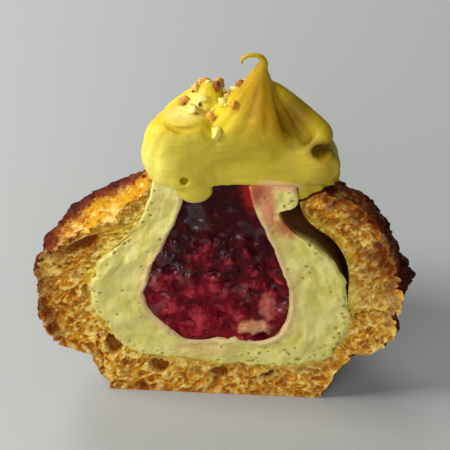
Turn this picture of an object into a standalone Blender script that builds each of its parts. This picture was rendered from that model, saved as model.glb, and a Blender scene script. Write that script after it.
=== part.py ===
"""Half of a choux bun with a crackled sugar crust, cut down the middle and standing on its flat foot.

The cut face looks along -Y. The bun's upright axis lies in the cut plane, at x = 0, and the floor is z = 0.
Four solids touch there: the baked shell, the pistachio cream that lines it, the raspberry filling in the
cream, and the piped cream on top with its nut crumbs. They are GAP apart, and the piped cream is CRUST_GAP from
the crust.
Outlines in the cut plane are pairs of millimetres: distance from the upright axis, height above the floor.
"""

import bmesh
import bpy
import numpy as np
from mathutils import Euler, Matrix, Vector

MM = 0.001

# Driving sizes, in metres
CUT_Y = -16.1 * MM
GAP = 0.3 * MM
CRUST_GAP = 0.4 * MM
TOPPING_FOOT_Z = 50.2 * MM
NECK_RADIUS = 13.6 * MM
BACK_BEGINS_AT = 0.9
BUN_MIDDLE_Z = 25

# The bun's outside, to the right and to the left of its axis, and at the back
BUN_RIGHT = [
    (0, 0), (17, 0), (18.8, 1.4), (21, 5), (22, 8.2), (24, 9.8), (28.3, 12.4), (31.2, 15), (32, 19.5),
    (32.6, 25.5), (32.5, 31.6), (31.5, 36.2), (29.4, 40.7), (26.8, 44.6), (23.7, 47.6), (20, 48.9),
    (16.9, 48.4), (13.8, 47), (7, 49), (0, 49.4),
]
BUN_LEFT = [
    (0, 0), (20, 0), (21.4, 1), (23.6, 3.8), (25.2, 7.2), (27.4, 8.8), (30.2, 10), (33.4, 11), (34.6, 14),
    (35.1, 18.4), (35.3, 23.1), (35, 27.8), (34.1, 31.4), (32, 33.8), (29.9, 35.3), (26.3, 37.6),
    (23.1, 39.8), (19.5, 42.2), (16.4, 45.4), (13.8, 48.8), (7, 50.2), (0, 50.4),
]
BUN_BACK = [
    (0, 0), (18, 0), (20, 2), (22.6, 6), (25.6, 8.6), (30, 11), (32.2, 15.5), (33, 21), (32.8, 26.5),
    (31.4, 31), (29, 34), (26, 36.8), (23, 39.5), (20, 42), (17, 44.8), (14.8, 47.6), (13.2, 48.6),
    (7, 49.8), (0, 50.2),
]
# A corner of crust that juts out at the right: its middle (across, behind the cut, height), reach and width
CORNER = (33.0, 6.0, 26.5)
CORNER_OUT = 3.4
CORNER_WIDTH = 3.4
# The hollow in it, open at the top where the cream was piped in
HOLLOW_RIGHT = [
    (0, 8.3), (8, 8.0), (14, 8.4), (18.4, 10), (21.4, 12.8), (22.9, 17.4), (23.2, 22.5), (23.4, 27),
    (23.4, 31), (22.4, 35), (20.2, 38.6), (16.8, 41.4), (14.6, 44), (13.4, 47), (13, 50), (12, 53), (0, 54),
]
HOLLOW_LEFT = [
    (0, 8.3), (9.4, 9.2), (14, 9.2), (17.6, 10.6), (20.4, 13.8), (23, 17.6), (24.8, 23), (24.2, 27.6),
    (22.6, 31.4), (19.8, 35), (17.2, 38), (15.2, 41), (14, 44.4), (13.2, 47.5), (12.8, 50), (12, 53), (0, 54),
]
# The cream shrank from the shell at the upper right, which leaves a crescent of air with a narrow tip
CREAM_RIGHT = [
    (0, 8.3), (8, 8.0), (14, 8.4), (18.4, 10), (21.4, 12.8), (22.9, 17.4), (23.1, 22.5), (22.9, 27),
    (21.0, 32.4), (18.8, 35.4), (16.6, 37.5), (13.4, 39.4), (11.6, 41.4), (10.4, 43.9), (10.9, 44.9),
    (12.9, 45.4), (13.7, 47), (13.2, 50), (12, 53), (0, 54),
]
AIR_ENDS_AT = 1.15
# The raspberry filling: wide and low, with a narrow neck up to the topping
JAM_RIGHT = [
    (0, 13.9), (3.4, 14.1), (6.4, 13.1), (9.8, 14.9), (12.0, 18.2), (12.9, 23.2), (12.4, 27.8), (10.8, 32.4),
    (9.7, 36), (8.2, 40), (6.4, 44), (5.2, 48), (4.6, 51), (0, 52),
]
JAM_LEFT = [
    (0, 13.9), (4.2, 12.9), (8.2, 13.4), (11, 16.2), (13.9, 19.4), (15, 23), (14.8, 26.6), (13.4, 32),
    (11.2, 36.6), (9.8, 39.6), (8.8, 42.6), (7.8, 46), (7.0, 51), (0, 52),
]
# Lumps of fruit that stand out of the filling's cut face: across, height, radius
FRUIT_LUMPS = [
    (-9.5, 21.5, 3.0), (-3.8, 18.0, 3.4), (2.6, 19.8, 2.8), (8.0, 17.6, 2.6), (9.2, 25.0, 2.6),
    (-8.6, 29.0, 2.6), (-1.6, 26.4, 3.0), (4.4, 29.4, 2.8), (-4.2, 34.6, 2.4), (3.4, 37.6, 2.0),
]
LUMP_PROUD = 0.7
LUMP_DEPTH = 1.6
# Large bubbles of the crumb at the cut: across, height, half width, half height
BIG_BUBBLES = [(-20.9, 10.9, 1.7, 2.4), (-12.2, 5.9, 1.9, 1.7), (-1.0, 4.8, 1.7, 1.3), (8.2, 4.4, 1.2, 1.0)]
BIG_BUBBLE_DEPTH = 2.2
TEAR = (-26.4, 34.4, 3.9, 1.2)
TEAR_SLOPE = 0.55
TEAR_DEPTH = 1.6
# Small ones: how many, their radii, how far into the wall they lie, as shares of it, and the crumb left between
SMALL_BUBBLES = 30
SMALL_BUBBLE_RADII = (0.55, 1.25)
SMALL_BUBBLE_PLACES = (0.3, 0.66)
CRUMB_LEFT = 0.35
# The crust's tiles and swellings: their size, and how far they stand out
TILE_SIZE = 5.2
TILE_HEIGHT = 1.1
SWELL_SIZE = 12
SWELL_HEIGHT = 0.9
ROUGH_SIZE = 2.6
ROUGH_HEIGHT = 0.35
# Half of a dollop's outline, as shares of its radius and of its height
PULLED = [
    (0, 0), (0.84, 0), (1.0, 0.10), (1.0, 0.24), (0.92, 0.38), (0.76, 0.49), (0.60, 0.58), (0.42, 0.68),
    (0.29, 0.77), (0.18, 0.86), (0.09, 0.94), (0.05, 0.975), (0, 1),
]
BLUNT = [
    (0, 0), (0.86, 0), (1.0, 0.14), (1.0, 0.34), (0.94, 0.52), (0.80, 0.70), (0.58, 0.84),
    (0.34, 0.94), (0.15, 0.985), (0, 1),
]
KISS = [
    (0, 0), (0.80, 0), (0.97, 0.12), (1.0, 0.28), (0.94, 0.46), (0.77, 0.63), (0.54, 0.78),
    (0.31, 0.89), (0.14, 0.96), (0, 1),
]
ROUND = [
    (0, 0), (0.55, 0.01), (0.84, 0.14), (0.97, 0.32), (1.0, 0.50), (0.93, 0.70), (0.75, 0.86), (0.42, 0.97), (0, 1),
]
# Piped dollops: across, behind the cut, radius, foot, top, ridges, depth of their grooves as a share of the
# radius, twist, lean across, lean back, outline
DOLLOPS = {
    "left": (-7.2, 3.0, 8.2, 48.0, 63.0, 14, 0.08, 0.3, 0.2, 1.0, ROUND),
    "back_left": (-5.8, 10.8, 9.4, 44.4, 66.2, 13, 0.17, 0.5, 3.0, -0.6, KISS),
    "peak": (3.8, 5.8, 10.6, 47.0, 75.2, 10, 0.10, 0.9, 3.2, 0.0, PULLED),
    "right": (12.4, 6.8, 8.8, 46.2, 62.0, 16, 0.12, -0.5, -1.6, 1.0, BLUNT),
    "back": (4.6, 15.0, 9.2, 43.2, 61.4, 18, 0.15, 0.6, -0.6, -2.6, KISS),
}
MOUND = (3.0, 4.5, 53.2, 15.4, 13.0, 6.0)
# The last fold of the right dollop and the peak's curled tip: across, behind the cut, height and radius on the way
SWIRL = [
    (6.6, 6.6, 69.0, 0.7), (9.0, 7.4, 67.2, 1.2), (12.2, 7.4, 63.8, 1.7), (15.0, 6.4, 61.4, 2.0),
    (17.4, 4.6, 60.0, 2.1), (17.9, 2.8, 59.2, 1.8), (16.6, 1.7, 58.2, 1.5), (14.4, 1.4, 57.4, 0.7),
]
CURL = [
    (6.9, 5.8, 73.4, 0.9), (6.7, 5.8, 74.8, 0.6), (5.7, 5.7, 75.6, 0.42), (4.2, 5.6, 75.6, 0.38),
    (3.1, 5.5, 74.8, 0.34), (2.9, 5.4, 73.9, 0.2),
]
# Where cream hangs at the topping's foot at the cut: across, height, half width, half height, half depth
DRIP = (-5.4, 49.2, 3.5, 3.0, 2.2)
RIGHT_LOBE = (16.6, 54.6, 4.8, 3.9, 4.6)
RIGHT_LOBE_BEHIND = 1
TOPPING_BUBBLE = (-7.1, 52.2, 0.9)
# Nut crumbs lie on a spiral round a middle, but not on the tip, low down or where the topping is steep
CRUMBS = 18
CRUMB_MIDDLE = (-0.6, 8.4)
CRUMB_SPACING = 1.77
GOLDEN_ANGLE = 2.39996
CRUMB_SIZE = (0.7, 1.1)
CRUMB_STRETCH = (0.7, 1.25)
CRUMB_HEIGHTS = (54, 69)
CRUMB_STEEPEST = 0.5
# Farther than any piece reaches
REACH = 90 * MM

COLOURS = {
    "choux_shell": ((0.52, 0.25, 0.07), 0.7),
    "pistachio_cream": ((0.60, 0.52, 0.17), 0.55),
    "raspberry_filling": ((0.10, 0.012, 0.016), 0.25),
    "piped_topping": ((0.64, 0.52, 0.07), 0.45),
}


def clear_scene():
    """Removes whatever the startup file holds."""
    for obj in list(bpy.data.objects):
        bpy.data.objects.remove(obj)


def new_collection(name):
    collection = bpy.data.collections.new(name)
    bpy.context.scene.collection.children.link(collection)
    return collection


def mesh_object(name, bm, collection):
    """An object from a bmesh, which is freed."""
    mesh = bpy.data.meshes.new(name)
    bm.to_mesh(mesh)
    bm.free()
    obj = bpy.data.objects.new(name, mesh)
    collection.objects.link(obj)
    return obj


def points_of(obj):
    co = np.empty(len(obj.data.vertices) * 3)
    obj.data.vertices.foreach_get("co", co)
    return co.reshape(-1, 3)


def set_points(obj, points):
    obj.data.vertices.foreach_set("co", points.ravel())
    obj.data.update()


def smooth_path(points, samples=240):
    """A smooth curve through the points, of any number of columns, sampled evenly along its length."""
    p = np.array(points, float)
    p = np.vstack([2 * p[0] - p[1], p, 2 * p[-1] - p[-2]])
    t = np.linspace(0, 1, 12, endpoint=False)[:, None]
    runs = []
    for a, b, c, d in zip(p[:-3], p[1:-2], p[2:-1], p[3:]):
        runs.append(
            0.5 * (2 * b + (c - a) * t + (2 * a - 5 * b + 4 * c - d) * t**2 + (3 * b - a - 3 * c + d) * t**3)
        )
    curve = np.vstack(runs + [p[-2:-1]])
    along = np.concatenate([[0], np.cumsum(np.linalg.norm(np.diff(curve, axis=0), axis=1))])
    even = np.linspace(0, along[-1], samples)
    return np.stack([np.interp(even, along, column) for column in curve.T])


def smooth_outline(pairs):
    """Distances from the axis and heights of a smooth outline."""
    return np.maximum(smooth_path(pairs), 0)


def at_shares(share, columns):
    """The columns of a path at shares of its length."""
    even = np.linspace(0, 1, columns.shape[1])
    return [np.interp(share, even, column) for column in columns]


def lattice_number(cell, seed):
    """A repeatable number from 0 to 1 for each whole-number lattice point."""
    c = cell.astype(np.int64)
    n = c[..., 0] * 374761393 + c[..., 1] * 668265263 + c[..., 2] * 1440662683 + seed * 974634777
    n &= 0xFFFFFFFF
    n = ((n ^ (n >> 13)) * 1274126177) & 0xFFFFFFFF
    n ^= n >> 16
    return n / 0xFFFFFFFF


def value_noise(p, seed):
    """Smooth noise from -1 to 1: lattice numbers blended by smoothstep along each axis."""
    cell = np.floor(p)
    f = p - cell
    f = f * f * (3 - 2 * f)
    total = np.zeros(len(p))
    for corner in np.ndindex(2, 2, 2):
        weight = np.prod(np.where(corner, f, 1 - f), axis=1)
        total += weight * lattice_number(cell + corner, seed)
    return total * 2 - 1


def cell_distances(p, seed):
    """Distances from each point to its nearest and second nearest jittered lattice point."""
    cell = np.floor(p)
    near = np.full(len(p), 9.0)
    second = np.full(len(p), 9.0)
    for step in np.ndindex(3, 3, 3):
        c = cell + np.array(step) - 1
        jitter = np.stack([lattice_number(c, seed + k) for k in (1, 2, 3)], axis=1)
        d = np.linalg.norm(c + 0.1 + 0.8 * jitter - p, axis=1)
        second = np.minimum(second, np.maximum(near, d))
        near = np.minimum(near, d)
    return near, second


def crust_relief(points):
    """How far the crust stands out, in metres: swellings, knobbly tiles, the cracks between them and a corner."""
    p = (points - np.array((0, CUT_Y, 0))) / MM
    near, second = cell_distances(p / TILE_SIZE, 11)
    tile = 0.55 - 1.1 * near**2 - 0.9 * np.exp(-(((second - near) / 0.1) ** 2))
    swell = SWELL_HEIGHT * value_noise(p / SWELL_SIZE, 3)
    rough = ROUGH_HEIGHT * value_noise(p / ROUGH_SIZE, 5)
    above_foot = np.clip((p[:, 2] - 3) / 7, 0, 1)
    from_neck = np.clip((np.hypot(p[:, 0], p[:, 1]) - 13.5) / 5, 0, 1)
    corner = CORNER_OUT * np.exp(-((np.linalg.norm(p - CORNER, axis=1) / CORNER_WIDTH) ** 2))
    tiles = (tile * TILE_HEIGHT + swell + rough) * above_foot * np.maximum(from_neck, p[:, 2] < 30)
    return (tiles + corner) * MM


def turned_body(name, right, left, collection, segments, rings, grow=0.0, right_until=None, back=None):
    """A ball whose rings follow an outline that changes smoothly from right (+X) to left (-X).

    right_until, an outline and an angle, is a second right side that fades into the first by that angle.
    back is an outline that takes over from both sides by BACK_BEGINS_AT behind the cut.
    """
    bm = bmesh.new()
    bmesh.ops.create_uvsphere(bm, u_segments=segments, v_segments=rings, radius=1)
    obj = mesh_object(name, bm, collection)
    unit = points_of(obj)
    azimuth = np.arctan2(unit[:, 1], unit[:, 0])
    share = np.arccos(np.clip(-unit[:, 2], -1, 1)) / np.pi
    sides = [at_shares(share, smooth_outline(side)) for side in (right, left)]
    if right_until:
        outline, ends_at = right_until
        keep = np.clip(np.abs(azimuth) / ends_at, 0, 1)
        keep = keep * keep * (3 - 2 * keep)
        near = at_shares(share, smooth_outline(outline))
        sides[0] = [keep * f + (1 - keep) * n for f, n in zip(sides[0], near)]
    rightness = (1 + np.cos(azimuth)) / 2
    radius, height = (rightness * r + (1 - rightness) * l for r, l in zip(*sides))
    if back:
        behind = np.clip(np.arcsin(np.clip(np.sin(azimuth), 0, 1)) / BACK_BEGINS_AT, 0, 1)
        behind = behind * behind * (3 - 2 * behind)
        far = at_shares(share, smooth_outline(back))
        radius, height = (behind * f + (1 - behind) * n for f, n in zip(far, (radius, height)))
    points = np.stack([radius * np.cos(azimuth), radius * np.sin(azimuth), height], axis=1) * MM
    points[:, 1] += CUT_Y
    set_points(obj, points)
    if grow:
        normals = np.array([v.normal for v in obj.data.vertices])
        set_points(obj, points + normals * grow)
    return obj


def box(name, low, high, collection):
    bm = bmesh.new()
    bmesh.ops.create_cube(bm, size=1)
    low, high = Vector(low), Vector(high)
    bmesh.ops.scale(bm, vec=high - low, verts=bm.verts)
    bmesh.ops.translate(bm, vec=(low + high) / 2, verts=bm.verts)
    return mesh_object(name, bm, collection)


def post(name, radius, low, high, collection):
    """An upright cylinder on the bun's axis."""
    bm = bmesh.new()
    place = Matrix.Translation((0, CUT_Y, (low + high) / 2))
    bmesh.ops.create_cone(
        bm, cap_ends=True, segments=48, radius1=radius, radius2=radius, depth=high - low, matrix=place
    )
    return mesh_object(name, bm, collection)


def egg(name, centre, half, collection, slope=0.0, detail=2):
    """An ellipsoid, turned about Y by slope, from an icosphere."""
    bm = bmesh.new()
    bmesh.ops.create_icosphere(bm, subdivisions=detail, radius=1)
    place = Matrix.Translation(centre) @ Matrix.Rotation(-slope, 4, "Y") @ Matrix.Diagonal((*half, 1))
    bmesh.ops.transform(bm, matrix=place, verts=bm.verts)
    return mesh_object(name, bm, collection)


def settle(obj):
    """Replaces the object's mesh by its evaluated one, and drops its modifiers."""
    bpy.context.view_layer.update()
    mesh = bpy.data.meshes.new_from_object(obj.evaluated_get(bpy.context.evaluated_depsgraph_get()))
    obj.modifiers.clear()
    obj.data = mesh


def boolean(obj, operation, other, solver="MANIFOLD"):
    """Applies a Boolean with one object, or with every object of a collection. The others are then removed."""
    modifier = obj.modifiers.new(operation.lower(), "BOOLEAN")
    modifier.operation = operation
    modifier.solver = solver
    if isinstance(other, bpy.types.Collection):
        modifier.operand_type = "COLLECTION"
        modifier.collection = other
        used = list(other.objects)
    else:
        modifier.object = other
        used = [other]
    settle(obj)
    for cutter in used:
        bpy.data.objects.remove(cutter)


def cut_front(obj, helpers):
    """Takes away everything in front of the cut plane."""
    boolean(obj, "DIFFERENCE", box("knife", (-REACH, -REACH, -REACH), (REACH, CUT_Y, REACH), helpers))


def wall_places(rng, count, taken):
    """Random places in the cut face's crumb with their radii, in millimetres, each clear of the others."""
    outside = [np.stack(smooth_outline(side), axis=1) for side in (BUN_RIGHT, BUN_LEFT)]
    inside = [np.stack(smooth_outline(side), axis=1) for side in (HOLLOW_RIGHT, HOLLOW_LEFT)]
    found = []
    for _ in range(count * 60):
        side = rng.integers(2)
        i = rng.integers(10, 178)
        outer = outside[side][i]
        inner = inside[side][np.argmin(np.linalg.norm(inside[side] - outer, axis=1))]
        thick = np.linalg.norm(outer - inner)
        away, z = inner + (outer - inner) * rng.uniform(*SMALL_BUBBLE_PLACES)
        x = away * (1 if side == 0 else -1)
        r = rng.uniform(*SMALL_BUBBLE_RADII)
        clear = all(abs(z - bz) >= bh + r or abs(x - bx) > bw + r + CRUMB_LEFT for bx, bz, bw, bh in taken)
        spaced = all(np.hypot(x - fx, z - fz) > r + fr + CRUMB_LEFT for fx, fz, fr in found)
        if thick > 2.6 * r and z > r + 1.2 and spaced and clear:
            found.append((x, z, r))
        if len(found) == count:
            break
    return found


def make_shell(parts, helpers):
    """The baked bun: a crackled ball on a flat foot, hollowed, cut, and with bubbles open at the cut.

    Returned with it is the whole ball, larger by CRUST_GAP.
    """
    shell = turned_body("choux_shell", BUN_RIGHT, BUN_LEFT, parts, 96, 42, back=BUN_BACK)
    points = points_of(shell)
    outward = points - np.array((0, CUT_Y, BUN_MIDDLE_Z * MM))
    outward /= np.linalg.norm(outward, axis=1)[:, None]
    set_points(shell, points + outward * crust_relief(points)[:, None])
    bun = shell.copy()
    bun.data = shell.data.copy()
    helpers.objects.link(bun)
    normals = np.array([v.normal for v in bun.data.vertices])
    set_points(bun, points_of(bun) + normals * CRUST_GAP)
    boolean(shell, "DIFFERENCE", turned_body("hollow", HOLLOW_RIGHT, HOLLOW_LEFT, helpers, 44, 26))
    cut_front(shell, helpers)
    rng = np.random.default_rng(7)
    bubbles = new_collection("bubbles")
    tear_x, tear_z, tear_w, tear_h = TEAR
    half = Vector((tear_w, TEAR_DEPTH, tear_h)) * MM
    egg("tear", (tear_x * MM, CUT_Y, tear_z * MM), half, bubbles, TEAR_SLOPE)
    for i, (x, z, w, h) in enumerate(BIG_BUBBLES):
        egg(f"big_bubble_{i}", (x * MM, CUT_Y, z * MM), Vector((w, BIG_BUBBLE_DEPTH, h)) * MM, bubbles)
    taken = BIG_BUBBLES + [(tear_x, tear_z, tear_w, tear_h + 2)]
    for i, (x, z, r) in enumerate(wall_places(rng, SMALL_BUBBLES, taken)):
        size = Vector((1, 0.9, 0.8)) * r * MM
        egg(f"bubble_{i}", (x * MM, CUT_Y + 0.1 * MM, z * MM), size, bubbles, detail=1)
    boolean(shell, "DIFFERENCE", bubbles)
    bpy.data.collections.remove(bubbles)
    return shell, bun


def make_cream(parts, helpers):
    """The cream between the shell and the filling, level with the topping's foot."""
    cream = turned_body(
        "pistachio_cream", HOLLOW_RIGHT, HOLLOW_LEFT, parts, 44, 26, -GAP, (CREAM_RIGHT, AIR_ENDS_AT)
    )
    boolean(cream, "DIFFERENCE", turned_body("core", JAM_RIGHT, JAM_LEFT, helpers, 40, 22, GAP))
    cut_front(cream, helpers)
    return cream


def make_filling(parts, helpers):
    """The raspberry filling, with lumps of fruit proud of its cut face."""
    filling = turned_body("raspberry_filling", JAM_RIGHT, JAM_LEFT, parts, 40, 22)
    cut_front(filling, helpers)
    lumps = new_collection("lumps")
    for i, (x, z, r) in enumerate(FRUIT_LUMPS):
        proud = LUMP_PROUD * r / 3
        half = Vector((r, LUMP_DEPTH, 0.8 * r)) * MM
        egg(f"lump_{i}", (x * MM, CUT_Y + (LUMP_DEPTH - proud) * MM, z * MM), half, lumps)
    boolean(filling, "UNION", lumps)
    bpy.data.collections.remove(lumps)
    return filling


def dollop(name, sizes, collection):
    """A piped dollop: a ball drawn up to a peak, with rounded ridges and sharp grooves that twist as they rise."""
    across, behind, radius, foot, top, ridges, groove, twist, lean_x, lean_y, outline = sizes
    bm = bmesh.new()
    bmesh.ops.create_uvsphere(bm, u_segments=2 * ridges, v_segments=11, radius=1)
    obj = mesh_object(name, bm, collection)
    unit = points_of(obj)
    azimuth = np.arctan2(unit[:, 1], unit[:, 0])
    share = np.arccos(np.clip(-unit[:, 2], -1, 1)) / np.pi
    width, up = at_shares(share, smooth_outline(outline))
    ridge = np.abs(np.cos(ridges * azimuth / 2))
    r = radius * width * (1 - groove + groove * ridge)
    angle = azimuth + twist * up
    x = across + lean_x * up**2 + r * np.cos(angle)
    y = behind + lean_y * up**2 + r * np.sin(angle)
    z = foot + (top - foot) * up
    set_points(obj, np.stack([x * MM, y * MM + CUT_Y, z * MM], axis=1))
    return obj


def rope(name, points, collection, rings=12):
    """A round rope along a smooth path. Each point is across, behind the cut, height and radius."""
    bm = bmesh.new()
    bmesh.ops.create_uvsphere(bm, u_segments=8, v_segments=rings, radius=1)
    obj = mesh_object(name, bm, collection)
    unit = points_of(obj)
    azimuth = np.arctan2(unit[:, 1], unit[:, 0])[:, None]
    share = np.arccos(np.clip(-unit[:, 2], -1, 1)) / np.pi
    path = smooth_path(points)
    *centre, radius = at_shares(share, path)
    tangent = np.stack(at_shares(share, np.gradient(path[:3], axis=1)), axis=1)
    side = np.cross(tangent, (0, 1, 0))
    side /= np.linalg.norm(side, axis=1)[:, None]
    lift = np.cross(tangent, side)
    lift /= np.linalg.norm(lift, axis=1)[:, None]
    between_ends = np.hypot(unit[:, 0], unit[:, 1]) > 0.001
    away = (radius * between_ends)[:, None] * (np.cos(azimuth) * side + np.sin(azimuth) * lift)
    set_points(obj, (np.stack(centre, axis=1) + away) * MM + (0, CUT_Y, 0))
    return obj


def draw(number, low, high, seed):
    """A repeatable number between low and high for each whole number."""
    return low + (high - low) * float(lattice_number(np.array((number, 0, 0)), seed))


def scatter_crumbs(topping):
    """Nut crumbs on the topping's upper side: small lumps on a spiral, dropped straight down."""
    crumbs = new_collection("crumbs")
    for i in range(CRUMBS):
        spread = CRUMB_SPACING * np.sqrt(i + 0.25)
        x = CRUMB_MIDDLE[0] + spread * np.cos(GOLDEN_ANGLE * i)
        y = CRUMB_MIDDLE[1] + spread * np.sin(GOLDEN_ANGLE * i)
        hit, at, normal, _ = topping.ray_cast(Vector((x * MM, CUT_Y + y * MM, REACH)), Vector((0, 0, -1)))
        lowest, highest = CRUMB_HEIGHTS
        if not hit or not lowest < at.z / MM < highest or normal.z < CRUMB_STEEPEST:
            continue
        size = draw(i, *CRUMB_SIZE, 1) * MM
        stretch = Vector([draw(i, *CRUMB_STRETCH, seed) for seed in (2, 3, 4)])
        turn = Euler([draw(i, 0, 3, seed) for seed in (5, 6, 7)])
        bm = bmesh.new()
        bmesh.ops.create_icosphere(bm, subdivisions=1, radius=1)
        shape = turn.to_matrix().to_4x4() @ Matrix.Diagonal((*(stretch * size), 1))
        place = Matrix.Translation(at + normal * size * 0.25) @ shape
        bmesh.ops.transform(bm, matrix=place, verts=bm.verts)
        mesh_object(f"crumb_{i}", bm, crumbs)
    boolean(topping, "UNION", crumbs)
    bpy.data.collections.remove(crumbs)


def make_topping(parts, helpers, bun):
    """Piped dollops on a mound, shaped to the bun's top below, cut, and sprinkled with nut crumbs."""
    across, behind, height, wide, deep, tall = MOUND
    centre = Vector((across * MM, CUT_Y + behind * MM, height * MM))
    topping = egg("piped_topping", centre, Vector((wide, deep, tall)) * MM, parts, detail=3)
    heap = new_collection("heap")
    for name, sizes in DOLLOPS.items():
        dollop(name, sizes, heap)
    rope("swirl", SWIRL, heap)
    rope("curl", CURL, heap)
    x, z, w, h, d = RIGHT_LOBE
    egg("right_lobe", (x * MM, CUT_Y + RIGHT_LOBE_BEHIND * MM, z * MM), Vector((w, d, h)) * MM, heap)
    boolean(topping, "UNION", heap)
    bpy.data.collections.remove(heap)
    boolean(topping, "DIFFERENCE", post("neck", NECK_RADIUS, 30 * MM, TOPPING_FOOT_Z, helpers))
    boolean(topping, "DIFFERENCE", bun)
    x, z, w, h, d = DRIP
    boolean(topping, "UNION", egg("drip", (x * MM, CUT_Y, z * MM), Vector((w, d, h)) * MM, helpers))
    x, z, r = TOPPING_BUBBLE
    boolean(topping, "DIFFERENCE", egg("bubble", (x * MM, CUT_Y, z * MM), Vector((r, r, r)) * MM, helpers))
    cut_front(topping, helpers)
    scatter_crumbs(topping)
    return topping


def trim_tops(cream, filling, helpers):
    """Levels the cream and the filling under the topping, and makes room for the drip that hangs over them."""
    x, z, w, h, d = DRIP
    for obj in (cream, filling):
        low = (-REACH, -REACH, TOPPING_FOOT_Z - GAP)
        boolean(obj, "DIFFERENCE", box("level", low, (REACH, REACH, REACH), helpers))
        half = Vector((w, d, h)) * MM + Vector((1, 1, 1)) * GAP
        boolean(obj, "DIFFERENCE", egg("drip_room", (x * MM, CUT_Y, z * MM), half, helpers))


def finish(obj, colour, roughness):
    """Gives the piece its material and smooth shading with sharp creases."""
    material = bpy.data.materials.new(obj.name)
    material.use_nodes = True
    shader = material.node_tree.nodes["Principled BSDF"]
    shader.inputs["Base Color"].default_value = (*colour, 1)
    shader.inputs["Roughness"].default_value = roughness
    obj.data.materials.clear()
    obj.data.materials.append(material)
    obj.data.shade_smooth()
    obj.data.set_sharp_from_angle(angle=0.9)


def main():
    clear_scene()
    parts = new_collection("half_choux")
    helpers = new_collection("cutters")
    shell, bun = make_shell(parts, helpers)
    cream = make_cream(parts, helpers)
    filling = make_filling(parts, helpers)
    topping = make_topping(parts, helpers, bun)
    trim_tops(cream, filling, helpers)
    for obj in (shell, cream, filling, topping):
        finish(obj, *COLOURS[obj.name])


main()
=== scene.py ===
"""The looks of the halved choux: baked shell, pistachio cream, raspberry filling, and topping with nuts.

Each form is made again from the outlines of the solid it stands for, with the fine relief that the solid
leaves out. Places are in millimetres from where the bun's upright axis meets the floor: x across the cut
face, y behind it, z up. Meshes are in metres, in the frame of the solids.
"""

import bmesh
import bpy
import numpy as np
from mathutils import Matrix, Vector


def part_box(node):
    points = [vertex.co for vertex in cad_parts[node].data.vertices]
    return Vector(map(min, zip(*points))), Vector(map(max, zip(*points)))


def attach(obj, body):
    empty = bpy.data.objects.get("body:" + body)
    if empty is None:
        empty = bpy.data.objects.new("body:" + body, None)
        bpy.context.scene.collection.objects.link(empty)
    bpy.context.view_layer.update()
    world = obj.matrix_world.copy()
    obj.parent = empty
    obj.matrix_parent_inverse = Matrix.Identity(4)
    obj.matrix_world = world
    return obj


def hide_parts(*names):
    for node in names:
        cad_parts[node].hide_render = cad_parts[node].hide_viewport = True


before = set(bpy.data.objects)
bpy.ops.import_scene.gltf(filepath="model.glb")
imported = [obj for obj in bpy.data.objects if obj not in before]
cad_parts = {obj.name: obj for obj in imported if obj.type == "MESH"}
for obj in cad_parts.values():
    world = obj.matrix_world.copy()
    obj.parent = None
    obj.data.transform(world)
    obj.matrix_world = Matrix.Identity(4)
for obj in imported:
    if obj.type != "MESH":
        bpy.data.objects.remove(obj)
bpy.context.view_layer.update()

MM = 0.001
# Points this near are joined, and shorter edges are dissolved, in metres
WELD_WITHIN = 1e-7
SHORTEST_EDGE = 1e-8
# Where the cut lies in the frame, and where the topping's foot and the neck below it are
CUT_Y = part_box("pistachio_cream")[0].y / MM
TOPPING_FOOT_Z = 50.2
NECK_RADIUS = 13.6
NECK_POST_FOOT_Z = 30

# The bun's outside, to the right and to the left of its axis, and at the back, up to the rim of its hole
BUN_RIGHT = [
    (0, 0), (17, 0), (18.8, 1.4), (21, 5), (22, 8.2), (24, 9.8), (28.3, 12.4), (31.2, 15), (32, 19.5),
    (32.6, 25.5), (32.5, 31.6), (31.5, 36.2), (29.4, 40.7), (26.8, 44.6), (23.7, 47.6), (20, 48.9),
    (16.9, 48.4), (13.9, 46.8),
]
BUN_LEFT = [
    (0, 0), (20, 0), (21.4, 1), (23.6, 3.8), (25.2, 7.2), (27.4, 8.8), (30.2, 10), (33.4, 11), (34.6, 14),
    (35.1, 18.4), (35.3, 23.1), (35, 27.8), (34.1, 31.4), (32, 33.8), (29.9, 35.3), (26.3, 37.6),
    (23.1, 39.8), (19.5, 42.2), (16.4, 45.4), (13.5, 48.8),
]
BUN_BACK = [
    (0, 0), (18, 0), (20, 2), (22.6, 6), (25.6, 8.6), (30, 11), (32.2, 15.5), (33, 21), (32.8, 26.5),
    (31.4, 31), (29, 34), (26, 36.8), (23, 39.5), (20, 42), (17, 44.8), (14.8, 47.6), (13.5, 48.6),
]
BUN_MIDDLE_Z = 25
# The angle round behind the cut, in radians, by which the back's outline has taken over
BACK_BEGINS_AT = 0.9
# Sizes of the crust's swellings, tiles, roughness and nubs, and where they fade out beside the neck
SWELL_SIZE = 12
TILE_SIZE = 5.2
ROUGH_SIZE = 2.6
NUB_SIZE = 2.3
RIM_RADIUS = 13.5
CRUST_FADES_ABOVE = 30
# The share of the outline, below the rim, over which the hollow's wall bends to meet the crust
RIM_SHARE = 0.12
# A corner of crust that juts out at the right: its middle, reach and width
CORNER = (33.0, 6.0, 26.5)
CORNER_OUT = 3.4
CORNER_WIDTH = 3.4
# The bun's hollow, up to the rim
HOLLOW_RIGHT = [
    (0, 8.3), (8, 8.0), (14, 8.4), (18.4, 10), (21.4, 12.8), (22.9, 17.4), (23.2, 22.5), (23.4, 27),
    (23.4, 31), (22.4, 35), (20.2, 38.6), (16.8, 41.4), (14.8, 44), (13.9, 46.8),
]
HOLLOW_LEFT = [
    (0, 8.3), (9.4, 9.2), (14, 9.2), (17.6, 10.6), (20.4, 13.8), (23, 17.6), (24.8, 23), (24.2, 27.6),
    (22.6, 31.4), (19.8, 35), (17.2, 38), (15.2, 41), (14, 44.4), (13.5, 48.8),
]
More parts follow.
